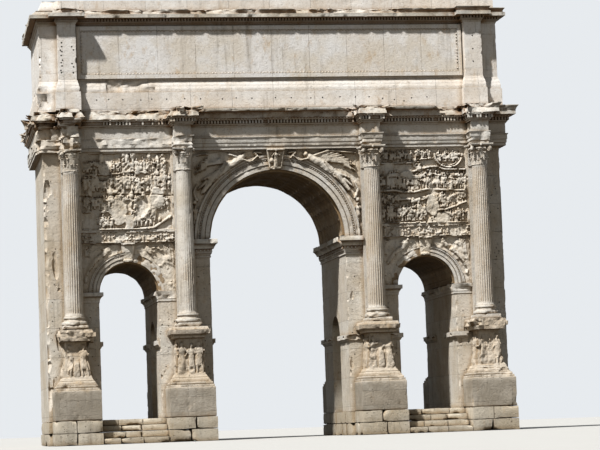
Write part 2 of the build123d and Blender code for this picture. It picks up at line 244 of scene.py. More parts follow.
def ball_shape(centre, radii, rings=6, segments=10):
    """A closed rounded lump."""
    turn = np.linspace(0, pi, rings + 1)[1:-1][::-1, None]
    around = np.linspace(0, 2 * pi, segments, endpoint=False)
    grid = turned_grid(np.sin(turn), np.cos(turn) + 0 * around, around).reshape(-1, 3)
    points = np.vstack([(0, 0, -1), grid, (0, 0, 1)]) * np.array(radii) + np.array(centre)
    return points, closed_turning(rings - 1, segments)


class Heap:
    """Points and faces of several closed shapes that end up in one mesh."""

    def __init__(self):
        self.points, self.faces, self.count = [], [], 0

    def add(self, points, faces):
        points = np.asarray(points, float).reshape(-1, 3)
        self.points.append(points)
        self.faces += [[index + self.count for index in face] for face in faces]
        self.count += len(points)

    def add_turning(self, radius, height, angles, centre=(0.0, 0.0)):
        """Adds a closed turned shape, from grids of radii and heights with one row to a level."""
        grid = turned_grid(radius, height, angles, centre).reshape(-1, 3)
        foot, head = (*centre, height[0].mean()), (*centre, height[-1].mean())
        self.add(np.vstack([foot, grid, head]), closed_turning(*radius.shape))

    def piece(self, name, material, slot, replaces=(), angle=40):
        points = np.concatenate(self.points)
        return make_piece(name, points, self.faces, material, replaces, angle)


# Materials


def tone(red, green, blue):
    """A colour as it looks on a screen, from 0 to 255, turned into light."""
    parts = [value / 255 for value in (red, green, blue)]
    return tuple(p / 12.92 if p <= 0.04045 else ((p + 0.055) / 1.055) ** 2.4 for p in parts) + (1.0,)


class Graph:
    """Short calls that build the nodes of one material, or of the sky."""

    def __init__(self, owner):
        owner.use_nodes = True
        self.tree = owner.node_tree

    def fill(self, node, inputs):
        """Links or sets the inputs of a node."""
        for name, value in inputs.items():
            if isinstance(value, bpy.types.NodeSocket):
                self.tree.links.new(value, node.inputs[name])
            else:
                node.inputs[name].default_value = value
        return node

    def node(self, kind, inputs, **settings):
        made = self.tree.nodes.new("ShaderNode" + kind)
        for name, value in settings.items():
            setattr(made, name, value)
        return self.fill(made, inputs)

    def math(self, operation, first, second=0.0):
        return self.node("Math", {0: first, 1: second}, operation=operation).outputs[0]

    def times(self, first, second):
        return self.math("MULTIPLY", first, second)

    def plus(self, first, second):
        return self.math("ADD", first, second)

    def noise(self, place, scale, detail=4.0, roughness=0.6, stretch=None):
        """Noise over places, drawn out by three factors where they are given."""
        if stretch:
            place = self.node("VectorMath", {0: place, 1: stretch}, operation="MULTIPLY").outputs[0]
        inputs = {"Vector": place, "Scale": scale, "Detail": detail, "Roughness": roughness}
        return self.node("TexNoise", inputs).outputs["Fac"]

    def step(self, value, low, high, start=0.0, end=1.0):
        """start below low, end above high, and a smooth step between."""
        inputs = {"Value": value, "From Min": low, "From Max": high, "To Min": start, "To Max": end}
        return self.node("MapRange", inputs, interpolation_type="SMOOTHSTEP").outputs[0]

    def mix(self, factor, first, second):
        inputs = {0: factor, 6: first, 7: second}
        return self.node("Mix", inputs, data_type="RGBA").outputs[2]


def wall_places(graph, place, normal):
    """Coordinates along a wall and up it, whichever way the wall faces."""
    parts = graph.node("SeparateXYZ", {0: place}).outputs
    facing = graph.node("SeparateXYZ", {0: normal}).outputs
    end_wall = graph.math("GREATER_THAN", graph.math("ABSOLUTE", facing[0]), 0.7)
    along = graph.node("Mix", {0: end_wall, 2: parts[0], 3: parts[1]}).outputs[0]
    return graph.node("CombineXYZ", {0: along, 1: parts[2]}).outputs[0]


def shade(colour, factor):
    """A colour made lighter or darker."""
    return tuple(min(0.9, part * factor) for part in colour[:3]) + (1.0,)


def block_joints(graph, places, joints, blotch):
    """The tone of each block of a wall and how open its joints are."""
    inputs = {
        "Vector": places,
        "Color1": (0.0, 0.0, 0.0, 1.0),
        "Color2": (1.0, 1.0, 1.0, 1.0),
        "Mortar": (0.5, 0.5, 0.5, 1.0),
        "Scale": 1.0,
        "Mortar Size": 0.013,
        "Mortar Smooth": 0.3,
        "Brick Width": joints[0],
        "Row Height": joints[1],
    }
    bricks = graph.node("TexBrick", inputs).outputs
    open_joint = graph.times(bricks["Fac"], graph.step(blotch, 0.36, 0.6, 0.25, 1.0))
    return graph.times(bricks["Color"], 0.22), open_joint


def pit_marks(graph, place, grain, blotch):
    """Small round pits, in patches."""
    inputs = {"Vector": place, "Scale": grain, "Randomness": 1.0}
    cells = graph.node("TexVoronoi", inputs).outputs["Distance"]
    return graph.times(graph.step(cells, 0.10, 0.22, 1.0, 0.0), graph.step(blotch, 0.42, 0.6))


def stone(
    name, pale, warm, dark, joints=None, open_joints=0.7, pits=0.0, streaks=0.5, hollow_stain_and_shade=0.8, relief=0.03,
    grain=6.0, grey_below=None, hollow=0.28, stain=tone(178, 146, 100), stained=0.5, mottled=0.4,
):
    """Weathered stone: patches, rain streaks, joints, pits, painted brown shade on soffits, and ochre stain
    with painted shade in hollows.

    joints are a block's width and height. Under the level grey_below the stone is grey.
    """
    material = bpy.data.materials.new(name)
    graph = Graph(material)
    place = graph.node("TexCoord", {}).outputs["Object"]
    normal = graph.node("NewGeometry", {}).outputs["Normal"]
    facing_up = graph.node("SeparateXYZ", {0: normal}).outputs[2]

    broad = graph.noise(place, 0.45, 5.0, 0.62)
    blotch = graph.noise(place, 1.7, 6.0, 0.68)
    fine = graph.noise(place, grain * 2.2, 5.0, 0.7)
    mottle = graph.noise(place, 3.4, 5.0, 0.75)
    speck = graph.noise(place, 9.5, 3.0, 0.75)
    rust = graph.noise(place, 2.3, 5.0, 0.7, (1.0, 1.0, 0.55))
    bleached = graph.noise(place, 1.1, 6.0, 0.7, (1.0, 1.0, 0.7))
    run = graph.noise(place, 1.0, 6.0, 0.62, (2.6, 2.6, 0.22))

    colour = graph.mix(graph.step(broad, 0.38, 0.62), pale, warm)
    patches = [
        (rust, 0.54, 0.72, stained, stain),
        (fine, 0.45, 0.75, 0.4, shade(pale, 1.12)),
        (bleached, 0.53, 0.68, 0.6, shade(pale, 1.12)),
        (mottle, 0.50, 0.78, mottled, dark),
        (speck, 0.55, 0.72, 0.25 + 0.5 * mottled, dark),
        (run, 0.54, 0.78, streaks, dark),
    ]
    for pattern, low, high, amount, tint in patches:
        colour = graph.mix(graph.step(pattern, low, high, 0.0, amount), colour, tint)
    height = graph.times(fine, 0.5)
    for pattern, amount in ((blotch, 0.8), (mottle, -0.9), (speck, -0.6)):
        height = graph.plus(height, graph.times(pattern, amount))

    hollows = []
    if joints:
        block_tone, open_joint = block_joints(graph, wall_places(graph, place, normal), joints, blotch)
        colour = graph.mix(block_tone, colour, stain)
        hollows.append((open_joint, open_joints))
    if pits:
        hollows.append((pit_marks(graph, place, grain, blotch), pits))
    for mark, amount in hollows:
        colour = graph.mix(graph.times(mark, amount), colour, dark)
        height = graph.plus(height, graph.times(mark, -1.6 * amount))

    coats = []
    if grey_below:
        level = graph.plus(graph.node("SeparateXYZ", {0: place}).outputs[2], graph.times(blotch, 0.5))
        foot = graph.step(level, grey_below + 0.5, grey_below)
        foot = graph.times(foot, graph.step(broad, 0.35, 0.6, 0.55, 1.0))
        coats.append((foot, 0.75, tone(132, 125, 112)))
    dirty_top = graph.times(graph.step(facing_up, 0.45, 0.9), graph.step(blotch, 0.35, 0.62))
    closed = graph.node("AmbientOcclusion", {"Distance": hollow}, samples=6).outputs["AO"]
    coats += [
        # Painted shade: faces that look down are made dark brown.
        (graph.step(facing_up, -0.25, -0.8), 0.88, tone(76, 58, 33)),
        (dirty_top, 0.5, tone(128, 122, 108)),
        # Hollows found by ambient occlusion turn ochre, partly stain and partly painted shade, and the
        # deepest turn dark as painted shade.
        (graph.step(closed, 0.96, 0.6), 0.6 * hollow_stain_and_shade, shade(stain, 0.72)),
        (graph.step(closed, 0.62, 0.12), hollow_stain_and_shade, shade(dark, 0.62)),
    ]
    for mask, amount, tint in coats:
        colour = graph.mix(graph.times(mask, amount), colour, tint)

    bumped = graph.node("Bump", {"Strength": 0.9, "Distance": relief, "Height": height}).outputs[0]
    roughness = graph.step(fine, 0.3, 0.7, 0.95, 0.72)
    graph.fill(
        graph.tree.nodes["Principled BSDF"],
        {"Base Color": colour, "Roughness": roughness, "Specular IOR Level": 0.22, "Normal": bumped},
    )
    return material


bright_marble = stone(
    "bright_marble", tone(235, 233, 229), tone(223, 216, 206), tone(112, 103, 90), (2.1, 1.84), 0.4,
    stained=0.4, mottled=0.35,
)
moulded_marble = stone(
    "moulded_marble", tone(214, 210, 202), tone(198, 189, 175), tone(88, 77, 60), streaks=0.6
)
wall_marble = stone(
    "wall_marble", tone(210, 205, 195), tone(195, 186, 170), tone(98, 87, 71), (3.1, 1.44), 0.4, pits=0.6,
    relief=0.05, stained=0.42,
)
carved_marble = stone(
    "carved_marble", tone(224, 218, 207), tone(211, 200, 182), tone(100, 82, 58), pits=0.35, grain=9.0,
    relief=0.045,
)
column_marble = stone(
    "column_marble", tone(205, 200, 191), tone(190, 181, 166), tone(104, 94, 80), streaks=0.6,
    stained=0.4, relief=0.045,
)
pedestal_marble = stone(
    "pedestal_marble", tone(202, 193, 179), tone(186, 173, 154), tone(92, 82, 68), (2.5, 0.72), 0.3,
    pits=0.5, grey_below=socle_top + 1.4, relief=0.05,
)
travertine = stone(
    "travertine", tone(194, 185, 168), tone(181, 168, 146), tone(96, 85, 70), pits=0.8, grain=7.0,
    stained=0.35, relief=0.05,
)
# Darker stone for the vaults, with ochre stain and painted shade in its hollows at full strength.
vault_stone = stone(
    "vault_stone", tone(160, 145, 124), tone(138, 119, 97), tone(66, 55, 44), (1.2, 0.6), 0.6, pits=0.6,
    hollow_stain_and_shade=1.0,
)
# The cornice's hollows get the strongest ochre stain and painted shade, over a wide reach, darkening the
# dentil zone.
cornice_marble = stone(
    "cornice_marble", tone(212, 208, 199), tone(190, 180, 163), tone(70, 57, 38), streaks=0.6,
    hollow_stain_and_shade=1.35, hollow=0.5, stain=tone(146, 102, 50),
)
panel_marble = stone(
    "panel_marble", tone(226, 224, 221), tone(214, 206, 193), tone(120, 110, 94), (1.93, 5.2), 0.45,
    streaks=0.6, stain=tone(184, 154, 112), stained=0.6, mottled=0.35,
)
roof_stone = stone(
    "roof_stone", tone(168, 162, 150), tone(150, 142, 126), tone(92, 86, 76), (1.2, 0.8), 0.6
)

FINISHES = {
    "socle": travertine,
    "steps": travertine,
    "pier": wall_marble,
    "vault": vault_stone,
    "carving": carved_marble,
    "moulding": moulded_marble,
    "pedestal": pedestal_marble,
    "column": column_marble,
    "entablature": moulded_marble,
    "attic": bright_marble,
    "panel": panel_marble,
    "roof": roof_stone,
    "core": vault_stone,
}


def slot_of(node):
    """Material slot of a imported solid, by its name."""
    starts = {
        "socle": "socle",
        "steps": "steps",
        "outer_pier": "pier",
        "inner_pier": "pier",
        "central_vault": "vault",
        "side_vault": "vault",
        "keystones": "carving",
        "relief": "carving",
        "pedestals": "pedestal",
        "column": "column",
        "wall_pilasters": "column",
        "main": "entablature",
        "upper_fill": "core",
        "attic_roof": "roof",
        "inscription": "panel",
        "attic": "attic",
    }
    return next((slot for start, slot in starts.items() if node.startswith(start)), "moulding")


for node_name, node_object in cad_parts.items():
    node_object.data.materials.clear()
    node_object.data.materials.append(FINISHES[slot_of(node_name)])


# Mouldings that run round the arch


def stepped_path(half_x, half_y, places, break_half, break_y):
    """Plan of a course that breaks forward at some places on both faces."""
    front = [(-half_x, -half_y)]
    for place in places:
        front += [(place - break_half, -half_y), (place - break_half, -break_y)]
        front += [(place + break_half, -break_y), (place + break_half, -half_y)]
    front.append((half_x, -half_y))
    return front + [(x, -y) for x, y in reversed(front)]


def plan_runs(path):
    """Corners of a closed plan, with the run, its length, its way out and the mitre at each."""
    corners = np.array(path, float)
    runs = np.roll(corners, -1, axis=0) - corners
    lengths = np.linalg.norm(runs, axis=1)
    normals = np.column_stack([runs[:, 1], -runs[:, 0]]) / lengths[:, None]
    return corners, runs, lengths, normals, normals + np.roll(normals, 1, axis=0)


def walk(path, steps):
    """Points along a closed plan and the way out at each.

    steps is one step length, or one for each run.
    """
    corners, runs, lengths, _, mitres = plan_runs(path)
    next_mitres = np.roll(mitres, -1, axis=0)
    base, out = [], []
    for index, step in enumerate(np.broadcast_to(steps, len(path))):
        count = max(2, round(lengths[index] / step))
        part = np.arange(count)[:, None] / count
        base.append(corners[index] + part * runs[index])
        out.append(mitres[index] * (1 - part) + next_mitres[index] * part)
    return np.concatenate(base), np.concatenate(out)


entablature_path = stepped_path(*entablature_half, column_places, soffit_half, ressaut_y)
attic_path = stepped_path(*attic_half, (-outer_column_x, outer_column_x), soffit_half, attic_break_y)


def course_shell(path, level, profile, inside, steps, wear):
    """Points and faces of a moulded course on a closed plan, worn by wear and closed inside a box.

    The profile is (reach, height) pairs from the foot up. wear takes the points, reaches and
    heights of the course and gives back the reaches and heights that are left.
    """
    base, out = walk(path, steps)
    reach, height = profile_grid(profile, len(base))
    points = np.dstack([base[None] + reach[..., None] * out[None], level + height])
    reach, height = wear(points, reach, height)
    back = np.clip(base, *np.array(inside))
    foot = np.column_stack([back, np.full(len(back), level)])[None]
    head = np.column_stack([back, level + height[-1]])[None]
    middle = np.dstack([base[None] + reach[..., None] * out[None], level + height])
    points = np.concatenate([foot, middle, head])
    return points, grid_faces(len(points), len(base), loop_rows=True, loop_columns=True)


def sweep(name, path, level, profile, step, wear, material, replaces, inside=wall_inside):
    """A moulded course round the whole arch."""
    half = np.array(inside)
    points, faces = course_shell(path, level, profile, (-half, half), step, wear)
    return make_piece(name, points.reshape(-1, 3), faces, material, replaces)


def worn_faces(amount=0.008, size=0.35, seed=1):
    """Wear that only leaves a face slightly uneven."""

    def wear(points, reach, height):
        return reach + amount * rough_noise(points, size, 3, seed), height

    return wear


def state_along(front_state, back_amount, seed):
    """How broken a course is at each point: as listed along the front, by noise elsewhere."""
    places, losses = zip(*front_state)

    def state(points):
        x, y = points[..., 0], points[..., 1]
        patches = rough_noise(np.stack([x, y, 0 * x], axis=-1), 1.5, 3, seed)
        front = np.interp(x, places, losses) * (0.85 + 0.5 * patches)
        other = back_amount * ease(patches, -0.4, 0.8)
        front_side = ease(-y, half_depth * 0.7, half_depth)
        left_end = ease(-x, half_length - 0.1, half_length + 0.15) * losses[0] * (0.65 + 0.6 * patches)
        return np.clip(np.maximum(front_side * front + (1 - front_side) * other, left_end), 0, 1)

    return state


def broken(state, start, foot_reach, head_reach, height, chip=0.05, seed=0, sink=0.08):
    """Wear that breaks the projecting part of a course back to a rough slope.

    Above start the slope runs from foot_reach to head_reach at the course's height.
    """

    def wear(points, reach, level):
        loss = state(points)
        ragged = rough_noise(points, 0.5, 3, seed + 3)
        bite = np.clip(loss * 1.35 + 0.45 * ragged * ease(loss, 0.02, 0.3), 0, 1)
        bite = ease(bite, 0.15, 0.75)
        share = np.clip((level - start) / (height - start), 0, 1)
        slope = foot_reach + (head_reach - foot_reach) * share
        slope = slope + 0.07 * rough_noise(points, 0.34, 3, seed + 5)
        kept = np.minimum(reach, slope)
        above = level > start
        worn = np.where(above, reach + (kept - reach) * bite, reach)
        edge = ease(reach, foot_reach, foot_reach + 0.12)
        nick = ease(rough_noise(points, 0.22, 2, seed + 7), 0.35, 1.0)
        worn -= chip * nick * edge
        worn += 0.006 * rough_noise(points, 0.15, 2, seed + 9)
        drop = sink * bite * ease(share, 0.55, 1.0) * ease(reach, 0.1, 0.35)
        drop *= 1 + rough_noise(points, 0.4, 2, seed + 11)
        return worn, level - np.clip(drop, 0, None)

    return wear


def along_front(points, spans):
    """How much each point lies in some spans of the front, each (start, end, amount)."""
    x = points[..., 0]
    inside = 0 * x
    for start, end, amount in spans:
        inside = np.maximum(inside, amount * ease(x, start, start + 0.5) * ease(-x, -end, 0.5 - end))
    return inside * ease(-points[..., 1], half_depth * 0.7, half_depth)


def undercut(wear, spans, low, high, kept, lip):
    """Wear that also hollows the front of a course between two heights, along some spans.

    Over the hollow a thin slab is left that reaches out as far as lip.
    """

    def both(points, reach, level):
        worn, lowered = wear(points, reach, level)
        back = kept + 0.06 * rough_noise(points, 0.5, 3, 139)
        back = np.where(level < high, back, lip)
        hollow = worn + (np.minimum(worn, back) - worn) * along_front(points, spans)
        return np.where(level > low, hollow, worn), lowered

    return both


def ruined(wear, spans, depth, seed):
    """Wear that also eats deep lumps out of a course, along some spans of the front."""

    def both(points, reach, level):
        worn, lowered = wear(points, reach, level)
        lumps = ease(rough_noise(points, 0.55, 3, seed), -0.5, 0.9)
        lumps += 0.25 * rough_noise(points, 0.2, 2, seed + 3)
        return worn - depth * along_front(points, spans) * np.clip(lumps, 0, None), lowered

    return both


def spread(profile, gap=0.12):
    """Adds points to the long flat stretches of a profile, so that they can be worn."""
    dense = [profile[0]]
    for (reach, height), (next_reach, next_height) in zip(profile, profile[1:]):
        count = max(1, round(hypot(next_reach - reach, next_height - height) / gap))
        for index in range(1, count + 1):
            part = index / count
            dense.append((reach + part * (next_reach - reach), height + part * (next_height - height)))
    return dense


def course_height(node):
    """Height of a packed course."""
    return top(node) - bottom(node)


def along_course(path, reach, pitch):
    """Even places along a course at a reach, with the way along and the way out at each."""
    corners, runs, lengths, normals, mitres = plan_runs(path)
    starts = corners + reach * mitres
    ends = np.roll(starts, -1, axis=0)
    places = []
    for start, end, run, length, normal in zip(starts, ends, runs, lengths, normals):
        count = max(1, round(np.linalg.norm(end - start) / pitch))
        for number in range(count):
            places.append((start + (number + 0.5) / count * (end - start), run / length, normal))
    return places


def is_lost(number, place, level, state, seed, pick, losses, share, spare):
    """Whether a small part of a course is gone: all at the left end of the front, some elsewhere."""
    if place[0] < LOST_END_X and place[1] < 0:
        return True
    luck = lattice(np.array([number, seed, pick]), seed)
    return luck < share * ease(state(np.array([*place, level])), *losses) + spare


def row_of_dentils(name, path, level, state, reach, size, pitch, material, slot, seed):
    """Small square blocks under a cornice, worn or gone where the cornice is broken."""
    heap = Heap()
    width, depth, height = size
    faces = [(4, 6, 2, 0), (1, 3, 7, 5), (2, 3, 1, 0), (6, 7, 3, 2), (4, 5, 7, 6), (0, 1, 5, 4)]
    for number, (place, along, out) in enumerate(along_course(path, reach + depth, pitch)):
        if is_lost(number, place, level, state, seed, pick=7, losses=(0.35, 1.0), share=0.5, spare=0.02):
            continue
        deep = depth * (0.72 + 0.28 * lattice(np.array([number, seed, 3]), seed))
        corners = []
        for side, forward, up in product((-1, 1), (0, 1), (0, 1)):
            luck = lattice(np.array([number, side + 2 * forward, up]), seed + 5)
            worn = 0.012 * (luck - 0.3) * forward
            half = width / 2 - worn
            point = place + along * side * half + out * (forward * (deep - worn) - depth - 0.03)
            corners.append((point[0], point[1], level + up * height))
        heap.add(corners, faces)
    return heap.piece(name, material, slot, angle=30)


def row_of_eggs(name, path, level, state, reach, size, pitch, material, slot, seed):
    """Egg moulding of half buried eggs, gone where the cornice is broken."""
    heap = Heap()
    width, depth, height = size
    egg, faces = ball_shape((0.0, 0.0, 0.0), (width / 2, depth, height / 2), 4, 8)
    faces = turned_over(faces)
    for number, (place, along, out) in enumerate(along_course(path, reach, pitch)):
        if is_lost(number, place, level, state, seed, pick=1, losses=(0.3, 0.9), share=1.0, spare=0.03):
            continue
        flat = place + np.outer(egg[:, 0], along) + np.outer(egg[:, 1], out)
        heap.add(np.column_stack([flat, level + egg[:, 2]]), faces)
    return heap.piece(name, material, slot)


MAIN_CORNICE = [
    (0.00, 0.00), (0.05, 0.00), (0.055, 0.03), (0.09, 0.06), (0.12, 0.10), (0.13, 0.13), (0.15, 0.135),
    (0.11, 0.14), (0.11, 0.30), (0.20, 0.305), (0.20, 0.34), (0.23, 0.38), (0.29, 0.415), (0.31, 0.425),
    (0.44, 0.425), (0.455, 0.405), (0.47, 0.41), (0.47, 0.64), (0.49, 0.645), (0.49, 0.67), (0.50, 0.69),
    (0.515, 0.73), (0.55, 0.78), (0.585, 0.82), (0.59, 0.84), (0.60, 0.845), (0.60, 0.87), (0.50, 0.87),
    (0.02, 0.87),
]
ARCHITRAVE = [
    (-0.28, 0.00), (0.00, 0.00), (0.00, 0.13), (0.015, 0.138), (0.03, 0.148), (0.04, 0.16), (0.04, 0.31),
    (0.055, 0.318), (0.065, 0.328), (0.07, 0.34), (0.07, 0.50), (0.075, 0.53), (0.085, 0.552),
    (0.10, 0.575), (0.115, 0.588), (0.12, 0.592), (0.12, 0.62), (0.00, 0.62),
]
ATTIC_CORNICE = [
    (0.00, 0.00), (0.02, 0.00), (0.03, 0.05), (0.07, 0.10), (0.11, 0.15), (0.13, 0.18), (0.10, 0.185),
    (0.10, 0.32), (0.18, 0.325), (0.20, 0.345), (0.41, 0.345), (0.425, 0.325), (0.44, 0.33), (0.44, 0.49),
    (0.442, 0.50), (0.35, 0.53), (0.34, 0.575), (0.36, 0.61), (0.40, 0.665), (0.44, 0.71), (0.45, 0.72),
    (0.45, 0.75), (0.35, 0.75), (0.00, 0.75),
]
ATTIC_PLINTH = [(0.17, 0.0), (0.17, 0.92), (0.0, 0.92)]
ATTIC_BASE = [
    (0.00, 0.00), (0.12, 0.00), (0.12, 0.24), (0.105, 0.26), (0.10, 0.31), (0.09, 0.37), (0.065, 0.43),
    (0.04, 0.48), (0.028, 0.54), (0.02, 0.585), (0.002, 0.60), (0.002, 0.65),
]

# How broken the front is: (place, share that is lost) along each course
CORNICE_LOSSES = [
    (-12.6, 0.95), (-11.2, 0.9), (-10.9, 0.8), (-9.8, 0.9), (-9.5, 0.9), (-6.0, 0.8), (-5.5, 0.5),
    (-4.0, 0.45), (-3.4, 0.12), (2.6, 0.14), (3.9, 0.5), (5.2, 0.6), (6.6, 0.75), (7.2, 0.35), (8.2, 0.2),
    (8.8, 0.65), (9.4, 0.4), (10.0, 0.6), (10.8, 0.55), (11.2, 0.12), (12.6, 0.05),
]
ATTIC_CORNICE_LOSSES = [
    (-12.3, 0.95), (-11.3, 0.7), (-10.8, 0.35), (-9.9, 0.2), (-9.2, 0.55), (-7.5, 0.3), (-6.4, 0.65),
    (-5.4, 0.2), (-3.0, 0.45), (0.0, 0.2), (3.0, 0.5), (5.0, 0.5), (7.0, 0.15), (9.6, 0.05), (12.3, 0.1),
]
ARCHITRAVE_LOSSES = [
    (-12.3, 0.9), (-10.6, 0.5), (-9.0, 0.7), (-6.0, 0.6), (-5.0, 0.25), (4.6, 0.1), (5.4, 0.3),
    (7.0, 0.25), (12.3, 0.2),
]
ATTIC_BASE_LOSSES = [
    (-12.3, 0.8), (-11.2, 0.3), (-9.4, 0.1), (-8.4, 0.15), (-8.1, 0.95), (-6.1, 0.95), (-5.8, 0.05),
    (12.3, 0.03),
]
PARAPET_LOSSES = [(-12.3, 0.9), (-11.0, 0.5), (-10.0, 0.1), (12.3, 0.12)]

# Spans of the front where deep lumps are gone: (start, end, amount)
LEFT_RUIN = [(-13.6, -9.4, 1.0)]
COLUMN_RUINS = LEFT_RUIN + [(-5.6, -3.9, 0.6), (3.9, 5.6, 0.5), (9.4, 11.0, 0.4)]
PLINTH_RUIN = [(-13.6, -10.8, 1.0)]
SLAB_SPANS = [(-4.2, 4.2, 1.0), (5.3, 9.8, 0.8)]


def make_entablature():
    """Architrave, frieze and cornice, broken as in the photograph."""
    state = state_along(ARCHITRAVE_LOSSES, back_amount=0.5, seed=59)
    height = course_height("main_architrave")
    wear = broken(state, 0.30, 0.03, 0.02, height, chip=0.03, seed=101, sink=0.03)
    sweep(
        "architrave_mouldings", entablature_path, pier_top, spread(ARCHITRAVE), 0.105,
        ruined(wear, COLUMN_RUINS, depth=0.22, seed=103), moulded_marble,
        ["main_architrave"],
    )
    frieze = [(0.0, 0.0), (0.0, course_height("main_frieze"))]
    wear = ruined(worn_faces(0.01, 0.5, 113), COLUMN_RUINS, depth=0.24, seed=107)
    sweep(
        "frieze_face", entablature_path, architrave_top, spread(frieze), 0.12, wear, moulded_marble,
        ["main_frieze"],
    )
    state = state_along(CORNICE_LOSSES, back_amount=0.7, seed=31)
    height = course_height("main_cornice")
    wear = broken(state, 0.36, 0.27, 0.06, height, chip=0.07, seed=127, sink=0.12)
    wear = ruined(wear, LEFT_RUIN, depth=0.26, seed=109)
    wear = undercut(wear, SLAB_SPANS, low=0.395, high=0.70, kept=0.27, lip=0.54)
    sweep(
        "cornice_mouldings", entablature_path, frieze_top, spread(MAIN_CORNICE), 0.09, wear,
        cornice_marble, ["main_cornice"],
    )
    row_of_dentils(
        "cornice_dentils", entablature_path, frieze_top + 0.145, state, reach=0.11,
        size=(0.088, 0.125, 0.155), pitch=0.16, material=cornice_marble, slot="entablature", seed=3,
    )
    row_of_eggs(
        "cornice_eggs", entablature_path, frieze_top + 0.362, state, reach=0.225,
        size=(0.10, 0.05, 0.10), pitch=0.165, material=cornice_marble, slot="entablature", seed=5,
    )


def make_attic_courses():
    """Plinth, base moulding, cornice and parapet of the attic."""
    wear = ruined(worn_faces(0.012, 0.5, 131), PLINTH_RUIN, depth=0.2, seed=133)
    sweep(
        "attic_plinth_slabs", attic_path, cornice_top, spread(ATTIC_PLINTH, 0.15), 0.12, wear,
        bright_marble, ["attic_plinth"],
    )
    state = state_along(ATTIC_BASE_LOSSES, back_amount=0.35, seed=61)
    wear = broken(state, -0.01, 0.03, 0.0, 0.65, chip=0.03, seed=137, sink=0.0)
    sweep(
        "attic_base_mouldings", attic_path, attic_plinth_top, spread(ATTIC_BASE), 0.1, wear,
        bright_marble, ["attic_base_moulding"],
    )
    state = state_along(ATTIC_CORNICE_LOSSES, back_amount=0.6, seed=47)
    height = course_height("attic_cornice")
    wear = broken(state, 0.5, 0.30, 0.12, height, chip=0.06, seed=149, sink=0.05)
    sweep(
        "attic_cornice_mouldings", attic_path, attic_wall_top, spread(ATTIC_CORNICE), 0.10, wear,
        cornice_marble, ["attic_cornice"], parapet_inside,
    )
    row_of_dentils(
        "attic_dentils", attic_path, attic_wall_top + 0.19, state, reach=0.10,
        size=(0.085, 0.10, 0.13), pitch=0.155, material=cornice_marble, slot="attic", seed=9,
    )
    half_x, half_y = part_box("attic_parapet")[1].xy
    parapet_path = [(-half_x, -half_y), (half_x, -half_y), (half_x, half_y), (-half_x, half_y)]
    height = course_height("attic_parapet")
    profile = [(0.0, 0.0), (0.0, height), (-0.3, height), (-0.6, height)]
    state = state_along(PARAPET_LOSSES, back_amount=0.5, seed=67)
    wear = broken(state, 0.1, 0.0, -0.2, height, chip=0.05, seed=151, sink=0.1)
    sweep(
        "parapet_blocks", parapet_path, attic_cornice_top, spread(profile, 0.15), 0.12, wear,
        bright_marble, ["attic_parapet"], parapet_inside,
    )


make_entablature()
make_attic_courses()


# Columns


FLUTES = 24
FLUTE_DEPTH = 0.042
FLUTE_HALF = 0.42
FLUTE_POINTS = (-0.5, -0.39, -0.22, 0.0, 0.22, 0.39)
NECK_DROP = 0.07
SHAFT_FOOT_RADIUS = 0.45
SHAFT_HEAD_RADIUS = 0.38
PLINTH_HALF = 0.64
PLINTH_HEIGHT = 0.23
SHAFT_WEAR = {"front": (0.3, 1.02, 0.12, 0.2), "back": (0.45, 0.2, 0.3, 0.6)}
CAPITAL_WEAR = {"front": (0.92, 1.05, 0.05, 0.12), "back": (0.3, 0.6, 0.15, 0.5)}
BASE_WEAR = {"front": (0.9, 0.5, 0.6, 0.35), "back": (0.5, 0.7, 0.4, 0.6)}


def column_centres(face):
    """Places of the four columns of one face."""
    return [(x, FACES[face] * column_y) for x in column_places]


def shaft_form(rows):
    """Levels of a shaft up to its neck, with the whole radius and the depth of the flutes at each."""
    neck = shaft_top - NECK_DROP
    feet = [base_top + rise for rise in (0.0, 0.03, 0.07, 0.12, 0.17)]
    heads = [neck - drop for drop in (0.2, 0.15, 0.10, 0.05, 0.01)]
    levels = np.concatenate([feet, np.linspace(feet[-1] + 0.09, heads[0] - 0.08, rows), heads])
    share = np.clip((levels - base_top) / (neck - base_top), 0, 1)
    taper = np.clip((share - 1 / 3) * 1.5, 0, 1)
    radius = SHAFT_FOOT_RADIUS - (SHAFT_FOOT_RADIUS - SHAFT_HEAD_RADIUS) * taper**1.35
    radius += 0.03 * np.clip(1 - (levels - base_top) / 0.10, 0, 1) ** 2
    end_fade = np.clip((levels - base_top - 0.09) / 0.09, 0, 1)
    end_fade = end_fade * np.clip((neck - 0.07 - levels) / 0.09, 0, 1)
    return levels, radius, FLUTE_DEPTH * np.sqrt(end_fade)


def shaft_ring(count):
    """Radii and heights of the ring at the neck of a shaft."""
    neck = shaft_top - NECK_DROP
    ring = [(0.0, neck), (0.025, neck + 0.01), (0.035, neck + 0.035), (0.025, neck + 0.06)]
    radius, height = profile_grid([*ring, (0.0, shaft_top)], count)
    return radius + SHAFT_HEAD_RADIUS, height


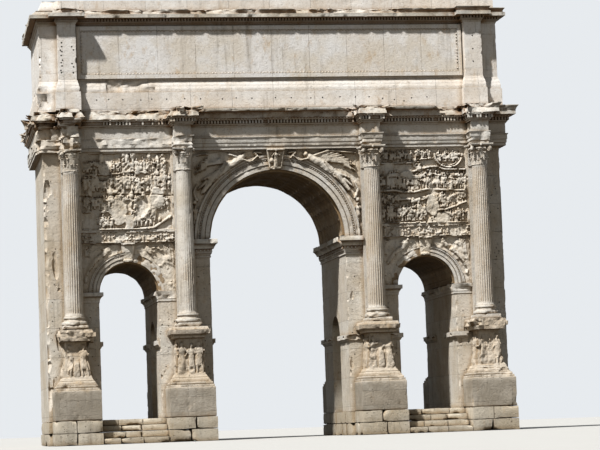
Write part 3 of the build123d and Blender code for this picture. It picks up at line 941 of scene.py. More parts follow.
def make_shafts(face):
    """Fluted shafts that taper, with the flutes worn down or broken away in places."""
    heap = Heap()
    across = np.array(FLUTE_POINTS)
    angles = (np.arange(FLUTES)[:, None] + across + 0.5).ravel() * 2 * pi / FLUTES
    hollow = np.sqrt(np.clip(1 - (across / FLUTE_HALF) ** 2, 0, 1)) * (np.abs(across) < 0.39)
    hollow = np.tile(hollow, FLUTES)
    levels, radius, depth = shaft_form(44 if face == "front" else 22)
    height = levels[:, None] + 0 * angles
    whole_rim, rim_height = shaft_ring(len(angles))
    for index, (centre, worn) in enumerate(zip(column_centres(face), SHAFT_WEAR[face])):
        points = turned_grid(0.42, height, angles + 0 * height, centre)
        patches = rough_noise(points * (1, 1, 0.45), 0.8, 3, 211 + index) + 1.6 * worn - 0.75
        loss = ease(patches, -0.1, 0.75) * (0.55 + 0.45 * worn)
        fine = rough_noise(points, 0.16, 3, 223 + index)
        chips = ease(rough_noise(points * (1, 1, 0.6), 0.2, 2, 227 + index), 0.55, 1.1)
        kept = radius[:, None] - depth[:, None] * hollow * (1 - 0.85 * loss)
        kept -= 0.022 * loss + 0.006 * fine * (0.4 + worn) + 0.03 * chips * (0.3 + worn)
        rim_chips = rough_noise(turned_grid(whole_rim, rim_height, angles), 0.2, 2, index)
        rim = whole_rim - 0.03 * ease(rim_chips, 0.3 - 0.5 * worn, 0.9)
        heap.add_turning(np.vstack([kept, rim]), np.vstack([height, rim_height]), angles, centre)
    heap.piece(f"fluted_shafts_{face}", column_marble, "column", [f"column_shafts_{face}"], angle=50)


BASE_PROFILE = [
    (0.60, 0.23), (0.625, 0.245), (0.638, 0.28), (0.64, 0.32), (0.638, 0.36), (0.625, 0.395),
    (0.59, 0.412), (0.565, 0.414), (0.562, 0.43), (0.53, 0.45), (0.505, 0.48), (0.50, 0.51),
    (0.515, 0.535), (0.518, 0.541), (0.538, 0.555), (0.545, 0.59), (0.542, 0.62), (0.53, 0.645),
    (0.505, 0.652), (0.50, 0.655), (0.495, 0.69), (0.45, 0.70),
]


def worn_block(heap, low, high, step, wear, seed):
    """A closed block with gridded faces, rounded and chipped along its edges."""
    low, high = np.array(low, float), np.array(high, float)
    size = high - low
    counts = [max(2, round(s / step)) + 1 for s in size]
    index, points, faces = {}, [], []

    def corner(place):
        if place not in index:
            index[place] = len(points)
            points.append([low[a] + size[a] * place[a] / (counts[a] - 1) for a in range(3)])
        return index[place]

    for axis in range(3):
        one, two = (axis + 1) % 3, (axis + 2) % 3
        for side in (0, counts[axis] - 1):
            for column, row in product(range(counts[one] - 1), range(counts[two] - 1)):
                ring = []
                for across, up in ((0, 0), (1, 0), (1, 1), (0, 1)):
                    place = [0, 0, 0]
                    place[axis], place[one], place[two] = side, column + across, row + up
                    ring.append(corner(tuple(place)))
                faces.append(ring if side else ring[::-1])
    heap.add(worn_corners(np.array(points), low, high, wear, seed), faces)


def worn_corners(points, low, high, wear, seed):
    """Moves points near a block's edges inward, more where the noise says that a chip is gone."""
    gap = np.minimum(points - low, high - points)
    order = np.sort(gap, axis=1)
    edge = np.exp(-order[:, 1] / 0.06)
    corner_near = np.exp(-(order[:, 1] + order[:, 2]) / 0.35)
    chip = ease(rough_noise(points, 0.45, 3, seed), 0.25, 0.95)
    lump = ease(rough_noise(points, 0.9, 2, seed + 3), 0.0, 0.8)
    uneven = 0.006 * (1 + rough_noise(points, 0.3, 3, seed + 5))
    shift = (0.010 + 0.09 * wear * chip) * edge + 0.22 * wear * corner_near * lump + uneven
    inward = np.where(gap < 1e-6, np.sign((low + high) / 2 - points), 0.0)
    return points + inward * shift[:, None]


def make_bases(face):
    """Turned bases on square plinths, broken as the pedestals' upper parts are."""
    heap = Heap()
    angles = np.linspace(0, 2 * pi, 56, endpoint=False)
    radius, height = profile_grid(BASE_PROFILE, len(angles))
    height += pedestal_top
    for index, (centre, worn) in enumerate(zip(column_centres(face), BASE_WEAR[face])):
        around = turned_grid(radius, height, angles, centre)
        bites = ease(rough_noise(around, 0.45, 3, 241 + index), 0.35 - 0.45 * worn, 1.0)
        kept = radius - (radius - 0.455) * bites * (0.5 + 0.5 * worn)
        kept = kept - 0.008 * rough_noise(around, 0.12, 2, index)
        heap.add_turning(kept, height, angles, centre)
        low = (centre[0] - PLINTH_HALF, centre[1] - PLINTH_HALF, pedestal_top)
        high = (centre[0] + PLINTH_HALF, centre[1] + PLINTH_HALF, pedestal_top + PLINTH_HEIGHT)
        worn_block(heap, low, high, 0.08, 0.4 + worn, 251 + index)
    heap.piece(f"turned_bases_{face}", column_marble, "column", [f"column_bases_{face}"], angle=45)


# Capitals, made round the origin with their foot at height 0


def leaf_shell(angle, foot, tall, wide, lean, curl):
    """A lobed leaf that stands against the bell and curls over at its tip."""
    up, side = np.meshgrid(np.linspace(0, 1, 10), np.linspace(-1, 1, 7), indexing="ij")
    bend = np.clip((up - 0.66) / 0.34, 0, 1)
    radius = 0.395 + 0.05 * foot + lean * up + curl * bend**1.6
    height = foot + tall * (up - 0.30 * bend**2.2)
    outline = np.sqrt(np.clip(1 - (2 * np.clip(up, 0.45, 1) - 0.9) ** 2 / 1.22, 0.02, 1))
    lobes = 0.86 + 0.14 * np.cos(11 * pi * up)
    turn = angle + side * wide * outline * lobes / radius
    ridge = 0.020 * np.exp(-((side / 0.16) ** 2))
    ridge += 0.010 * np.cos(3 * pi * side) * (1 - up * 0.4) - 0.022 * side**2
    thick = 0.030
    outside = turned_grid(radius + ridge, height, turn)
    inside = turned_grid(radius - thick, height - thick * bend, turn)
    size = up.size
    faces = grid_faces(*up.shape) + turned_over(grid_faces(*up.shape, start=size))
    border = grid_border(*up.shape)
    faces += [(a, a + size, b + size, b) for a, b in zip(border, border[1:] + border[:1])]
    return np.concatenate([outside, inside]).reshape(-1, 3), faces


def scroll(angle, distance, level, size, thick):
    """A volute: a disc with a spiral ridge on both faces, in the upright plane of a diagonal."""
    rings, segments = 7, 20
    turns = np.linspace(0, 2 * pi, segments, endpoint=False)
    r, t = np.meshgrid(np.linspace(1, 0.08, rings), turns, indexing="ij")
    edge = size * (1.06 - 0.14 * ((t - 0.6) % (2 * pi)) / (2 * pi))
    spiral = np.cos(2 * pi * (r * 2.2 - t / (2 * pi)))
    side = thick / 2 * (0.86 + 0.34 * spiral * (r < 0.97) - 0.25 * (r > 0.97)) + 0.02 * (1 - r)
    out = distance + r * edge * np.cos(t)
    high = level + r * edge * np.sin(t)
    direction = np.array([cos(angle), sin(angle)])
    across = np.array([-sin(angle), cos(angle)])
    sheets = []
    for way in (-1, 1):
        flat = out[..., None] * direction + (way * side)[..., None] * across
        sheets.append(np.dstack([flat, high]).reshape(-1, 3))
        sheets.append(np.append(distance * direction + way * thick * 0.75 * across, level)[None])
    eye = rings * segments
    inner = eye - segments
    near = grid_faces(rings, segments, loop_columns=True)
    near += [(inner + s, inner + (s + 1) % segments, eye) for s in range(segments)]
    one = eye + 1
    far = turned_over([[place + one for place in face] for face in near])
    rim = [(s, s + one, (s + 1) % segments + one, (s + 1) % segments) for s in range(segments)]
    return np.vstack(sheets), near + far + rim


def abacus_points(half, hollow, levels):
    """Rings of a plate with four hollow sides."""
    count = 12
    rings = []
    for reach, level in levels:
        for turn, number in product(range(4), range(count)):
            part = -1 + 2 * number / count
            x = half + reach - hollow * (1 - part * part)
            y = part * (half + reach)
            angle = turn * pi / 2
            rings.append((x * cos(angle) - y * sin(angle), x * sin(angle) + y * cos(angle), level))
    foot, head = (0, 0, levels[0][1]), (0, 0, levels[-1][1])
    return np.vstack([foot, rings, head]), closed_turning(len(levels), 4 * count)


BELL_PROFILE = [
    (0.38, 0.0), (0.385, 0.2), (0.40, 0.45), (0.43, 0.62), (0.46, 0.66), (0.475, 0.69), (0.46, 0.72),
    (0.47, 0.725), (0.50, 0.76), (0.505, 0.80), (0.47, 0.84), (0.46, 0.86), (0.50, 0.89),
]
ABACUS_PROFILE = [
    (-0.06, 0.89), (-0.05, 0.90), (-0.03, 0.94), (-0.005, 0.955), (0.0, 0.965), (0.0, 1.025),
    (-0.015, 1.03),
]


def make_capital_shapes():
    """The parts of one whole composite capital: bell, leaves, eggs, volutes and abacus."""
    heap = Heap()
    angles = np.linspace(0, 2 * pi, 48, endpoint=False)
    heap.add_turning(*profile_grid(BELL_PROFILE, len(angles)), angles)
    for number in range(8):
        heap.add(*leaf_shell(number * pi / 4, 0.0, 0.42, 0.155, 0.015, 0.13))
        heap.add(*leaf_shell((number + 0.5) * pi / 4, 0.17, 0.56, 0.145, 0.03, 0.15))
    for turn in (np.arange(20) + 0.5) * pi / 10:
        egg = (0.50 * cos(turn), 0.50 * sin(turn), 0.775)
        heap.add(*ball_shape(egg, (0.045, 0.045, 0.055), 5, 8))
    for turn in np.arange(4) * pi / 2:
        heap.add(*scroll(pi / 4 + turn, 0.615, 0.755, 0.145, 0.12))
        flower = (0.54 * cos(turn), 0.54 * sin(turn), 0.95)
        heap.add(*ball_shape(flower, (0.06, 0.06, 0.08)))
    heap.add(*abacus_points(abacus_half, 0.11, ABACUS_PROFILE))
    return np.concatenate(heap.points), heap.faces


def make_capitals(face):
    """Four capitals, from well kept to worn down to a lump."""
    shape, faces = make_capital_shapes()
    heap = Heap()
    lump_radius = np.interp(shape[:, 2], [0, 0.45, 0.89, 1.03], [0.38, 0.40, 0.48, 0.52])
    for index, (centre, worn) in enumerate(zip(column_centres(face), CAPITAL_WEAR[face])):
        points = shape.copy()
        radius = np.hypot(points[:, 0], points[:, 1])
        bites = rough_noise(points + index * 9, 0.4, 3, 271 + index)
        bites = ease(bites, 0.75 - 1.5 * worn, 1.35 - 1.0 * worn)
        uneven = 0.05 * rough_noise(points, 0.25, 2, 277 + index)
        target = np.minimum(radius, lump_radius + 0.10 * (1 - worn) + uneven)
        scale = (radius + (target - radius) * bites) / np.maximum(radius, 0.05)
        points[:, :2] *= np.where(radius > 0.05, scale, 1)[:, None]
        rough = rough_noise(points, 0.10, 2, 283 + index)
        points[:, :2] *= (1 - (0.008 + 0.03 * worn) * (1 + rough) / 2)[:, None]
        heap.add(points + (*centre, shaft_top), faces)
    heap.piece(f"leaf_capitals_{face}", column_marble, "column", [f"column_capitals_{face}"], angle=50)


for face in FACES:
    make_shafts(face)
    make_bases(face)
    make_capitals(face)


# Reliefs: heights over an upright sheet, pressed up by rounded limbs and ovals

SHIELD_SHARE = 0.3
SPEAR_SHARE = 0.25


class Carving:
    """Heights of a relief at points given by their place along the sheet and up it.

    A scene is laid out from a corner of the sheet, in the direction way.
    """

    def __init__(self, along, up, seed=0, corner=(0.0, 0.0), way=1):
        self.along, self.up = along, up
        self.points = upright(along, up)
        self.height = 0 * along
        self.luck = np.random.default_rng(seed)
        self.corner, self.way = corner, way

    def at(self, out, rise):
        """The place on the sheet at two distances from the corner."""
        return (self.corner[0] + self.way * out, self.corner[1] + rise)

    def share(self, centre, half):
        """0 at the centre of an oval, 1 on its edge and more outside it."""
        return np.hypot((self.along - centre[0]) / half[0], (self.up - centre[1]) / half[1])

    def press(self, near, share, rise, lift):
        """Raises the points in a mask to a rounded form. share is 0 on its spine and 1 on its edge."""
        inside = share < 1
        form = lift + rise * (0.42 + 0.58 * np.sqrt(np.clip(1 - share**2, 0, 1)))
        self.height[near] = np.maximum(self.height[near], np.where(inside, form, 0))

    def limb(self, start, end, thick, rise, lift=0.0, end_thick=None):
        """A tapering rounded bar between two points."""
        end_thick = thick if end_thick is None else end_thick
        wide = max(thick, end_thick)
        x_range, z_range = sorted((start[0], end[0])), sorted((start[1], end[1]))
        near = edge_gap(self.along, self.up, x_range, z_range) > -wide
        across, rising = self.along[near] - start[0], self.up[near] - start[1]
        run = np.array(end, float) - np.array(start, float)
        part = np.clip((across * run[0] + rising * run[1]) / max(run @ run, 1e-9), 0, 1)
        gap = np.hypot(across - part * run[0], rising - part * run[1])
        self.press(near, gap / (thick + (end_thick - thick) * part), rise, lift)

    def limbs(self, bars):
        """Several bars of the scene, each (start, end, thick, rise, end_thick)."""
        for start, end, thick, rise, end_thick in bars:
            self.limb(self.at(*start), self.at(*end), thick, rise, 0.0, end_thick)

    def oval(self, centre, half, rise, lift=0.0):
        """A rounded oval."""
        near = (np.abs(self.along - centre[0]) < half[0]) & (np.abs(self.up - centre[1]) < half[1])
        share = np.hypot((self.along[near] - centre[0]) / half[0], (self.up[near] - centre[1]) / half[1])
        self.press(near, share, rise, lift)

    def folds(self, centre, half, pitch, depth, slant=0.0):
        """Cuts upright folds into the drapery over an oval region."""
        wave = np.cos(2 * pi * (self.along - centre[0] + slant * (self.up - centre[1])) / pitch)
        amount = np.clip(1 - self.share(centre, half), 0, 1) ** 0.5
        self.height += depth * amount * wave * (self.height > 0.02)

    def arm(self, shoulder, side, turn, tall, rise, lift):
        """An arm that hangs or reaches out to one side."""
        out, drop = side * self.luck.uniform(0.02, 0.12) * tall, self.luck.uniform(0.10, 0.2) * tall
        elbow = (shoulder[0] + out, shoulder[1] - drop)
        out, lifted = turn * self.luck.uniform(-0.05, 0.15) * tall, self.luck.uniform(-0.12, 0.16) * tall
        hand = (elbow[0] + out, elbow[1] + lifted)
        self.limb(shoulder, elbow, 0.038 * tall, rise, lift, 0.032 * tall)
        self.limb(elbow, hand, 0.032 * tall, rise, lift, 0.024 * tall)

    def figure(self, foot, tall, rise, turn=1, lift=0.0, robe=0.5):
        """A standing figure in a tunic or a robe, with a plain oval head."""
        x, z = foot
        sway = self.luck.uniform(-0.05, 0.05) * tall
        hip, chest = (x + sway, z + 0.48 * tall), (x + 0.4 * sway, z + 0.74 * tall)
        hem = z + tall * (0.06 if self.luck.random() < robe else 0.34)
        stride = self.luck.uniform(0.03, 0.10) * tall
        for side in (-1, 1):
            knee = (hip[0] + side * stride * 0.9, z + 0.26 * tall)
            thigh, ankle = (hip[0] + side * 0.04 * tall, hip[1]), (x + side * stride, z + 0.02 * tall)
            self.limb(thigh, knee, 0.055 * tall, rise * 0.75, lift, 0.045 * tall)
            self.limb(knee, ankle, 0.042 * tall, rise * 0.65, lift, 0.03 * tall)
        self.limb(chest, (hip[0], hem), 0.10 * tall, rise * 0.85, lift, 0.125 * tall)
        self.oval((chest[0], z + 0.70 * tall), (0.115 * tall, 0.15 * tall), rise, lift)
        self.limb((chest[0], z + 0.8 * tall), (chest[0], z + 0.88 * tall), 0.04 * tall, rise * 0.8, lift)
        head = (chest[0] + turn * 0.015 * tall, z + 0.93 * tall)
        self.oval(head, (0.058 * tall, 0.073 * tall), rise * 1.05, lift)
        for side in (-1, 1):
            self.arm((chest[0] + side * 0.10 * tall, z + 0.80 * tall), side, turn, tall, rise * 0.9, lift)
        lap, reach = (hip[0], z + 0.42 * tall), (0.16 * tall, 0.36 * tall)
        self.folds(lap, reach, 0.055 * tall, 0.10 * rise, 0.2 * turn)

    def shield(self, centre, size, rise):
        """An oval shield with a boss."""
        self.oval(centre, (0.72 * size, size), rise)
        self.oval(centre, (0.2 * size, 0.28 * size), rise * 1.25)

    def horse(self, foot, tall, rise, turn=1):
        """A standing horse."""
        x, z = foot
        back, chest = (x - turn * 0.3 * tall, z + 0.62 * tall), (x + turn * 0.3 * tall, z + 0.62 * tall)
        self.limb(back, chest, 0.17 * tall, rise, 0.0, 0.16 * tall)
        for place, step in ((back, -0.05), (back, 0.08), (chest, -0.06), (chest, 0.1)):
            hip, hoof = (place[0], z + 0.55 * tall), (place[0] + turn * step * tall, z)
            self.limb(hip, hoof, 0.06 * tall, rise * 0.7, 0.0, 0.03 * tall)
        crest = (chest[0] + turn * 0.22 * tall, z + 0.95 * tall)
        muzzle = (crest[0] + turn * 0.15 * tall, z + 0.82 * tall)
        self.limb(chest, crest, 0.12 * tall, rise, 0.0, 0.07 * tall)
        self.limb(crest, muzzle, 0.06 * tall, rise * 0.95, 0.0, 0.04 * tall)

    def block(self, corner, far_corner, rise, seed=0):
        """A flat raised block with a ragged edge."""
        ragged = 0.04 * smooth_noise(self.points, 0.2, seed)
        x_range, z_range = sorted((corner[0], far_corner[0])), (corner[1], far_corner[1])
        gap = edge_gap(self.along, self.up, x_range, z_range) + ragged
        self.height = np.maximum(self.height, rise * ease(gap, 0.0, 0.03))

    def ledge(self, places, thick, rise):
        """A ridge of ground along some places of the scene."""
        for start, end in zip(places, places[1:]):
            self.limb(self.at(*start), self.at(*end), thick, rise)

    def crowd(self, places, tall, rise, gap=(0.13, 0.22)):
        """Figures that stand close together along a line of ground, some with a shield or a spear."""
        ground, levels = zip(*sorted(self.at(*place) for place in places))
        x = ground[0]
        while x < ground[-1]:
            foot = (x, float(np.interp(x, ground, levels)) + 0.02)
            height = tall * self.luck.uniform(0.82, 1.1)
            turn = 1 if self.luck.random() < 0.6 else -1
            forward, lift = rise * self.luck.uniform(0.75, 1.1), self.luck.uniform(0, 0.03)
            self.figure(foot, height, forward, turn, lift, 0.15)
            if self.luck.random() < SHIELD_SHARE:
                self.shield((x + 0.07 * turn, foot[1] + 0.56 * height), 0.17 * height, rise * 1.05)
            if self.luck.random() < SPEAR_SHARE:
                lean = self.luck.uniform(-0.3, 0.3) * tall
                self.limb((x - lean, foot[1] + 0.1), (x + lean, foot[1] + tall * 1.15), 0.014, rise * 0.9)
            x += self.luck.uniform(*gap) * tall / 0.8

    def drill(self, size, depth, seed, low=0.25, high=0.7):
        """Deep holes left between the forms."""
        hole = ease(rough_noise(self.points, size, 2, seed), low, high)
        self.height -= depth * hole * ease(self.height, 0.02, 0.06)

    def lose(self, centre, half, level, seed):
        """A place where the face has come away and left an even break."""
        left = self.share(centre, half) + 0.35 * rough_noise(self.points, 0.5, 3, seed)
        floor = level + 0.03 * rough_noise(self.points, 0.35, 4, seed + 1)
        self.height = floor + (self.height - floor) * ease(left, 0.85, 1.0)

    def weather(self, amount, size, seed, depth=0.03):
        """Wears the forms down in patches and leaves the ground uneven."""
        patch = rough_noise(self.points, size, 3, seed)
        patch = ease(patch, 0.75 - 1.3 * amount, 1.35 - 1.1 * amount)
        self.height *= 1 - 0.85 * patch
        self.height += depth * (rough_noise(self.points, 0.3, 3, seed + 3) * 0.5 - patch * 0.8)
        self.height += 0.010 * rough_noise(self.points, 0.09, 2, seed + 5)


def add_sheet(heap, points, back_y):
    """A carved sheet (rows, columns, 3), closed by a rim and a flat back at back_y."""
    border = grid_border(*points.shape[:2])
    flat = points.reshape(-1, 3)
    rim = flat[border].copy()
    rim[:, 1] = back_y
    first, count = len(flat), len(border)
    faces = grid_faces(*points.shape[:2])
    for i, place in enumerate(border):
        after = (i + 1) % count
        faces.append((place, i + first, after + first, border[after]))
    faces.append(tuple(range(first + count - 1, first - 1, -1)))
    heap.add(np.vstack([flat, rim]), faces if back_y > points[..., 1].mean() else turned_over(faces))


def siege_scene(carving):
    """Fighters before a walled town, with much of the face lost."""
    at = carving.at
    carving.ledge([(0.15, 2.85), (1.0, 2.87), (1.8, 2.9), (2.6, 3.0), (3.4, 2.95)], 0.05, 0.12)
    carving.crowd([(0.25, 2.95), (2.1, 2.98)], 0.62, 0.15, (0.10, 0.18))
    carving.crowd([(2.9, 2.85), (4.5, 2.95)], 0.78, 0.17)
    carving.block(at(2.15, 2.95), at(2.8, 3.5), 0.14, 3)
    for tooth in range(3):
        carving.block(at(2.15 + 0.25 * tooth, 3.45), at(2.28 + 0.25 * tooth, 3.66), 0.15, 4)
    carving.crowd([(0.3, 1.98), (1.2, 2.0), (2.9, 2.15)], 0.75, 0.16, (0.10, 0.18))
    carving.crowd([(2.7, 1.85), (4.5, 2.05)], 0.85, 0.16)
    carving.horse(at(1.7, 1.55), 0.7, 0.16, -1)
    carving.ledge([(0.2, 1.02), (1.2, 1.0), (1.9, 1.1)], 0.05, 0.12)
    carving.crowd([(0.3, 1.08), (1.9, 1.1)], 0.75, 0.15)
    carving.crowd([(2.0, 0.98), (2.9, 1.05)], 0.8, 0.14)
    carving.crowd([(3.6, 0.95), (4.5, 1.1)], 0.8, 0.13)
    carving.ledge([(0.2, 0.1), (1.8, 0.12), (2.7, 0.10), (3.7, 0.2), (4.55, 0.75)], 0.07, 0.16)
    carving.crowd([(0.85, 0.15), (1.75, 0.15)], 0.72, 0.15)
    carving.crowd([(2.75, 0.2), (3.7, 0.28)], 1.15, 0.17, (0.13, 0.18))
    for _ in range(44):
        place = at(carving.luck.uniform(0.4, 4.3), carving.luck.uniform(0.5, 3.9))
        wide = carving.luck.uniform(0.07, 0.17)
        tall = wide * carving.luck.uniform(1.3, 3.0)
        carving.oval(place, (wide, tall), carving.luck.uniform(0.10, 0.19))
    carving.drill(0.13, 0.07, 11, 0.35, 0.7)


def siege_losses(carving, seed):
    """Broken places of the siege."""
    at = carving.at
    carving.lose(at(1.95, 1.0), (0.42, 0.75), 0.10, seed)
    carving.block(at(2.25, 0.05), at(2.68, 0.85), 0.13, seed + 2)
    carving.lose(at(3.85, 1.65), (0.32, 0.6), 0.12, seed + 3)
    carving.lose(at(0.55, 0.6), (0.45, 0.55), 0.02, seed + 5)
    carving.lose(at(1.3, 3.1), (0.35, 0.3), 0.09, seed + 7)


def march_scene(carving):
    """Troops on the march in three registers below a round walled camp."""
    at = carving.at
    carving.ledge([(0.15, 0.06), (1.5, 0.12), (3.0, 0.16), (4.6, 0.08)], 0.065, 0.16)
    carving.crowd([(0.25, 0.2), (1.5, 0.22), (2.5, 0.3)], 0.9, 0.15, (0.11, 0.18))
    carving.limb(at(1.15, 1.33), at(1.8, 1.36), 0.07, 0.14)
    carving.limb(at(1.75, 1.22), at(2.6, 1.45), 0.10, 0.15)
    carving.crowd([(0.2, 1.1), (1.1, 1.15)], 0.5, 0.13)
    carving.ledge([(2.7, 0.76), (3.5, 0.80), (4.55, 1.18)], 0.055, 0.15)
    carving.crowd([(2.8, 0.84), (3.6, 0.92), (4.5, 1.2)], 0.74, 0.15, (0.10, 0.17))
    carving.crowd([(3.6, 0.15), (4.5, 0.2)], 0.62, 0.15)
    carving.limb(at(2.7, 0.25), at(3.4, 0.6), 0.16, 0.12)
    ground = [(0.15, 1.78), (0.9, 1.8), (1.25, 1.72), (1.9, 1.71), (2.5, 1.84), (3.3, 1.80), (4.6, 1.74)]
    carving.ledge(ground, 0.07, 0.19)
    carving.crowd([(x, z + 0.07) for x, z in ground], 0.9, 0.15, (0.10, 0.17))
    carving.ledge([(1.8, 2.72), (2.3, 2.92), (3.0, 3.0), (3.5, 2.84), (4.55, 2.82)], 0.06, 0.17)
    carving.ledge([(0.2, 3.18), (1.85, 3.2)], 0.055, 0.15)
    carving.crowd([(0.3, 3.24), (1.8, 3.25)], 0.6, 0.16)
    carving.limb(at(1.95, 3.25), at(2.3, 2.85), 0.20, 0.12)
    carving.ledge([(2.0, 3.36), (2.9, 3.42)], 0.05, 0.15)
    carving.crowd([(2.05, 3.42), (2.85, 3.45)], 0.48, 0.16)
    camp_x, camp_z, camp_radius = 3.72, 3.66, 0.72
    for radius, thick, rise in ((camp_radius, 0.055, 0.19), (0.85 * camp_radius, 0.03, 0.14)):
        turns = np.linspace(3.2, 6.2, 15)
        wall = [(camp_x + radius * cos(turn), camp_z + radius * sin(turn)) for turn in turns]
        carving.ledge(wall, thick, rise)
    carving.crowd([(3.2, 3.22), (4.3, 3.22)], 0.55, 0.15)
    carving.drill(0.13, 0.12, 13, 0.4, 0.75)


def march_losses(carving, seed):
    """Broken places of the march."""
    at = carving.at
    carving.lose(at(2.75, 1.0), (0.4, 0.5), 0.10, seed)
    carving.lose(at(3.35, 0.35), (0.5, 0.28), 0.08, seed + 3)
    carving.lose(at(1.45, 2.6), (0.35, 0.25), 0.09, seed + 5)


SCENES = {"siege": (siege_scene, siege_losses, 0.26), "march": (march_scene, march_losses, 0.16)}
SCENE_ORDER = {"front": ("siege", "march"), "back": ("march", "siege")}
FRAME_WIDTH = 0.13
SLAB_DEPTH = 0.12
BAND_DEPTH = 0.14


def make_relief_panels(face):
    """Framed slabs full of small figures over the narrow passages."""
    heap = Heap()
    side = FACES[face]
    left, right = inner_column_x + pilaster_half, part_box(f"relief_panels_{face}")[1].x
    tall = pier_top - relief_bottom
    step = 0.033 if face == "front" else 0.047
    for number, mirror in enumerate((-1, 1)):
        x_range = sorted((mirror * left, mirror * right))
        xs = np.linspace(*x_range, round((right - left) / step) + 1)
        zs = np.linspace(relief_bottom, pier_top, round(tall / step) + 1)
        along, up = np.meshgrid(xs, zs)
        seed = 301 + 10 * number + (0 if side < 0 else 100)
        carving = Carving(along, up, seed, (x_range[0 if side < 0 else 1], relief_bottom), -side)
        scene, losses, worn = SCENES[SCENE_ORDER[face][number]]
        scene(carving)
        carving.weather(worn, 0.9, seed)
        losses(carving, seed + 40)
        frame_loss = ease(rough_noise(carving.points, 0.9, 3, seed + 7), 0.0, 0.6)
        rim = 0.09 * (1 - 0.8 * frame_loss) + 0.008 * rough_noise(carving.points, 0.2, 2, seed)
        carving.height += 0.02 * rough_noise(carving.points, 0.7, 3, seed + 9)
        gap = edge_gap(along, up, x_range, (relief_bottom, pier_top))
        height = np.where(gap < FRAME_WIDTH, rim, carving.height)
        crack = up - relief_bottom - 0.45 * tall * (1 + number * 0.35)
        crack -= 0.12 * smooth_noise(carving.points, 0.9, seed)
        height -= 0.05 * np.exp(-((crack / 0.03) ** 2))
        sheet = np.dstack([along, side * (half_depth + SLAB_DEPTH + height), up])
        add_sheet(heap, sheet, side * half_depth)
    heap.piece(f"battle_reliefs_{face}", carved_marble, "carving", [f"relief_panels_{face}"], angle=60)


def make_relief_bands():
    """Processions of small figures under the large slabs."""
    heap = Heap()
    low, high = relief_band_bottom, relief_bottom
    inner, outer = inner_column_x + pilaster_half, outer_column_x - pilaster_half
    for side, mirror in product((-1, 1), (-1, 1)):
        left, right = sorted((mirror * inner, mirror * outer))
        along, up = np.meshgrid(np.linspace(left, right, 150), np.linspace(low, high, 20))
        seed = 401 + 7 * side + 3 * mirror
        carving = Carving(along, up, seed)
        carving.limb((left, low + 0.035), (right, low + 0.035), 0.04, 0.08)
        x = left + 0.12
        while x < right - 0.08:
            tall, rise = carving.luck.uniform(0.3, 0.44), carving.luck.uniform(0.07, 0.11)
            carving.figure((x, low + 0.08), tall, rise, robe=0.6)
            if carving.luck.random() < 0.3:
                carving.limb((x, low + 0.14), (x + 0.3, low + 0.2), 0.08, 0.10)
            x += carving.luck.uniform(0.10, 0.30)
        carving.limb((left, high - 0.02), (right, high - 0.02), 0.03, 0.08)
        carving.drill(0.11, 0.08, seed, 0.2, 0.6)
        carving.weather(0.5, 0.6, seed, 0.02)
        sheet = np.dstack([along, side * (half_depth + BAND_DEPTH + carving.height), up])
        add_sheet(heap, sheet, side * half_depth)
    heap.piece("procession_bands", carved_marble, "carving", ["relief_bands"], angle=60)


# Arches: spandrels, archivolts and keystones


def spandrel_grid(springing, radius, edge, top_level, counts, clear):
    """Points between an arch and the straight edges beside and over it, as (rows, columns) of X and Z."""
    turns = np.linspace(0.0, pi / 2 - clear, counts[0])
    parts = np.linspace(0.0, 1.0, counts[1])
    across = edge / np.maximum(np.cos(turns), 1e-6)
    rising = (top_level - springing) / np.maximum(np.sin(turns), 1e-6)
    distance = radius + (np.minimum(across, rising) - radius) * parts[:, None]
    return distance * np.cos(turns), springing + distance * np.sin(turns)


WINGED_LIMBS = [
    ((1.75, 4.02), (2.45, 3.62), 0.19, 0.20, 0.22),
    ((2.45, 3.62), (3.20, 3.02), 0.23, 0.19, 0.18),
    ((3.20, 3.02), (3.72, 2.35), 0.17, 0.16, 0.10),
    ((2.9, 3.35), (3.75, 2.95), 0.12, 0.13, 0.05),
    ((3.5, 2.9), (3.95, 2.5), 0.09, 0.12, 0.04),
    ((1.68, 4.08), (1.62, 4.14), 0.07, 0.18, 0.07),
    ((1.72, 3.98), (1.22, 3.86), 0.065, 0.19, 0.05),
    ((1.22, 3.86), (0.92, 4.12), 0.05, 0.17, 0.04),
    ((0.72, 3.95), (1.05, 4.3), 0.05, 0.15, 0.05),
    ((0.98, 4.32), (0.70, 4.28), 0.06, 0.13, 0.06),
    ((1.95, 4.1), (2.7, 4.35), 0.06, 0.17, 0.06),
    ((2.7, 4.35), (4.1, 4.22), 0.05, 0.15, 0.05),
    ((3.55, 3.6), (4.1, 3.3), 0.09, 0.12, 0.04),
    ((3.3, 3.8), (3.75, 3.55), 0.07, 0.11, 0.06),
]
RESTING_LIMBS = [
    ((0.98, 2.12), (1.22, 1.86), 0.13, 0.13, 0.12),
    ((1.22, 1.86), (1.58, 1.62), 0.12, 0.12, 0.10),
    ((1.58, 1.62), (1.86, 1.30), 0.10, 0.11, 0.08),
    ((1.86, 1.30), (2.04, 0.92), 0.08, 0.10, 0.06),
    ((1.10, 2.10), (1.42, 2.18), 0.05, 0.11, 0.04),
    ((1.42, 2.18), (1.66, 2.02), 0.045, 0.10, 0.04),
]


def winged_figure(carving):
    """A winged figure that flies to the keystone with its robe streaming behind."""
    at = carving.at
    carving.limbs(WINGED_LIMBS)
    carving.oval(at(1.56, 4.19), (0.11, 0.14), 0.22)
    for part in np.linspace(0, 1, 9):
        start = at(2.0 + 0.5 * part, 4.02 - 0.15 * part)
        end = at(2.55 + 1.5 * part**0.8, 4.36 - 0.75 * part**1.6)
        carving.limb(start, end, 0.085, 0.13 - 0.02 * part, 0.0, 0.05)
    for fold in range(6):
        shift = fold * 0.11
        start, end = at(2.5 + shift, 3.78 - 0.7 * shift), at(3.0 + shift, 2.95 - 0.5 * shift)
        carving.limb(start, end, 0.028, 0.235 - 0.02 * fold)


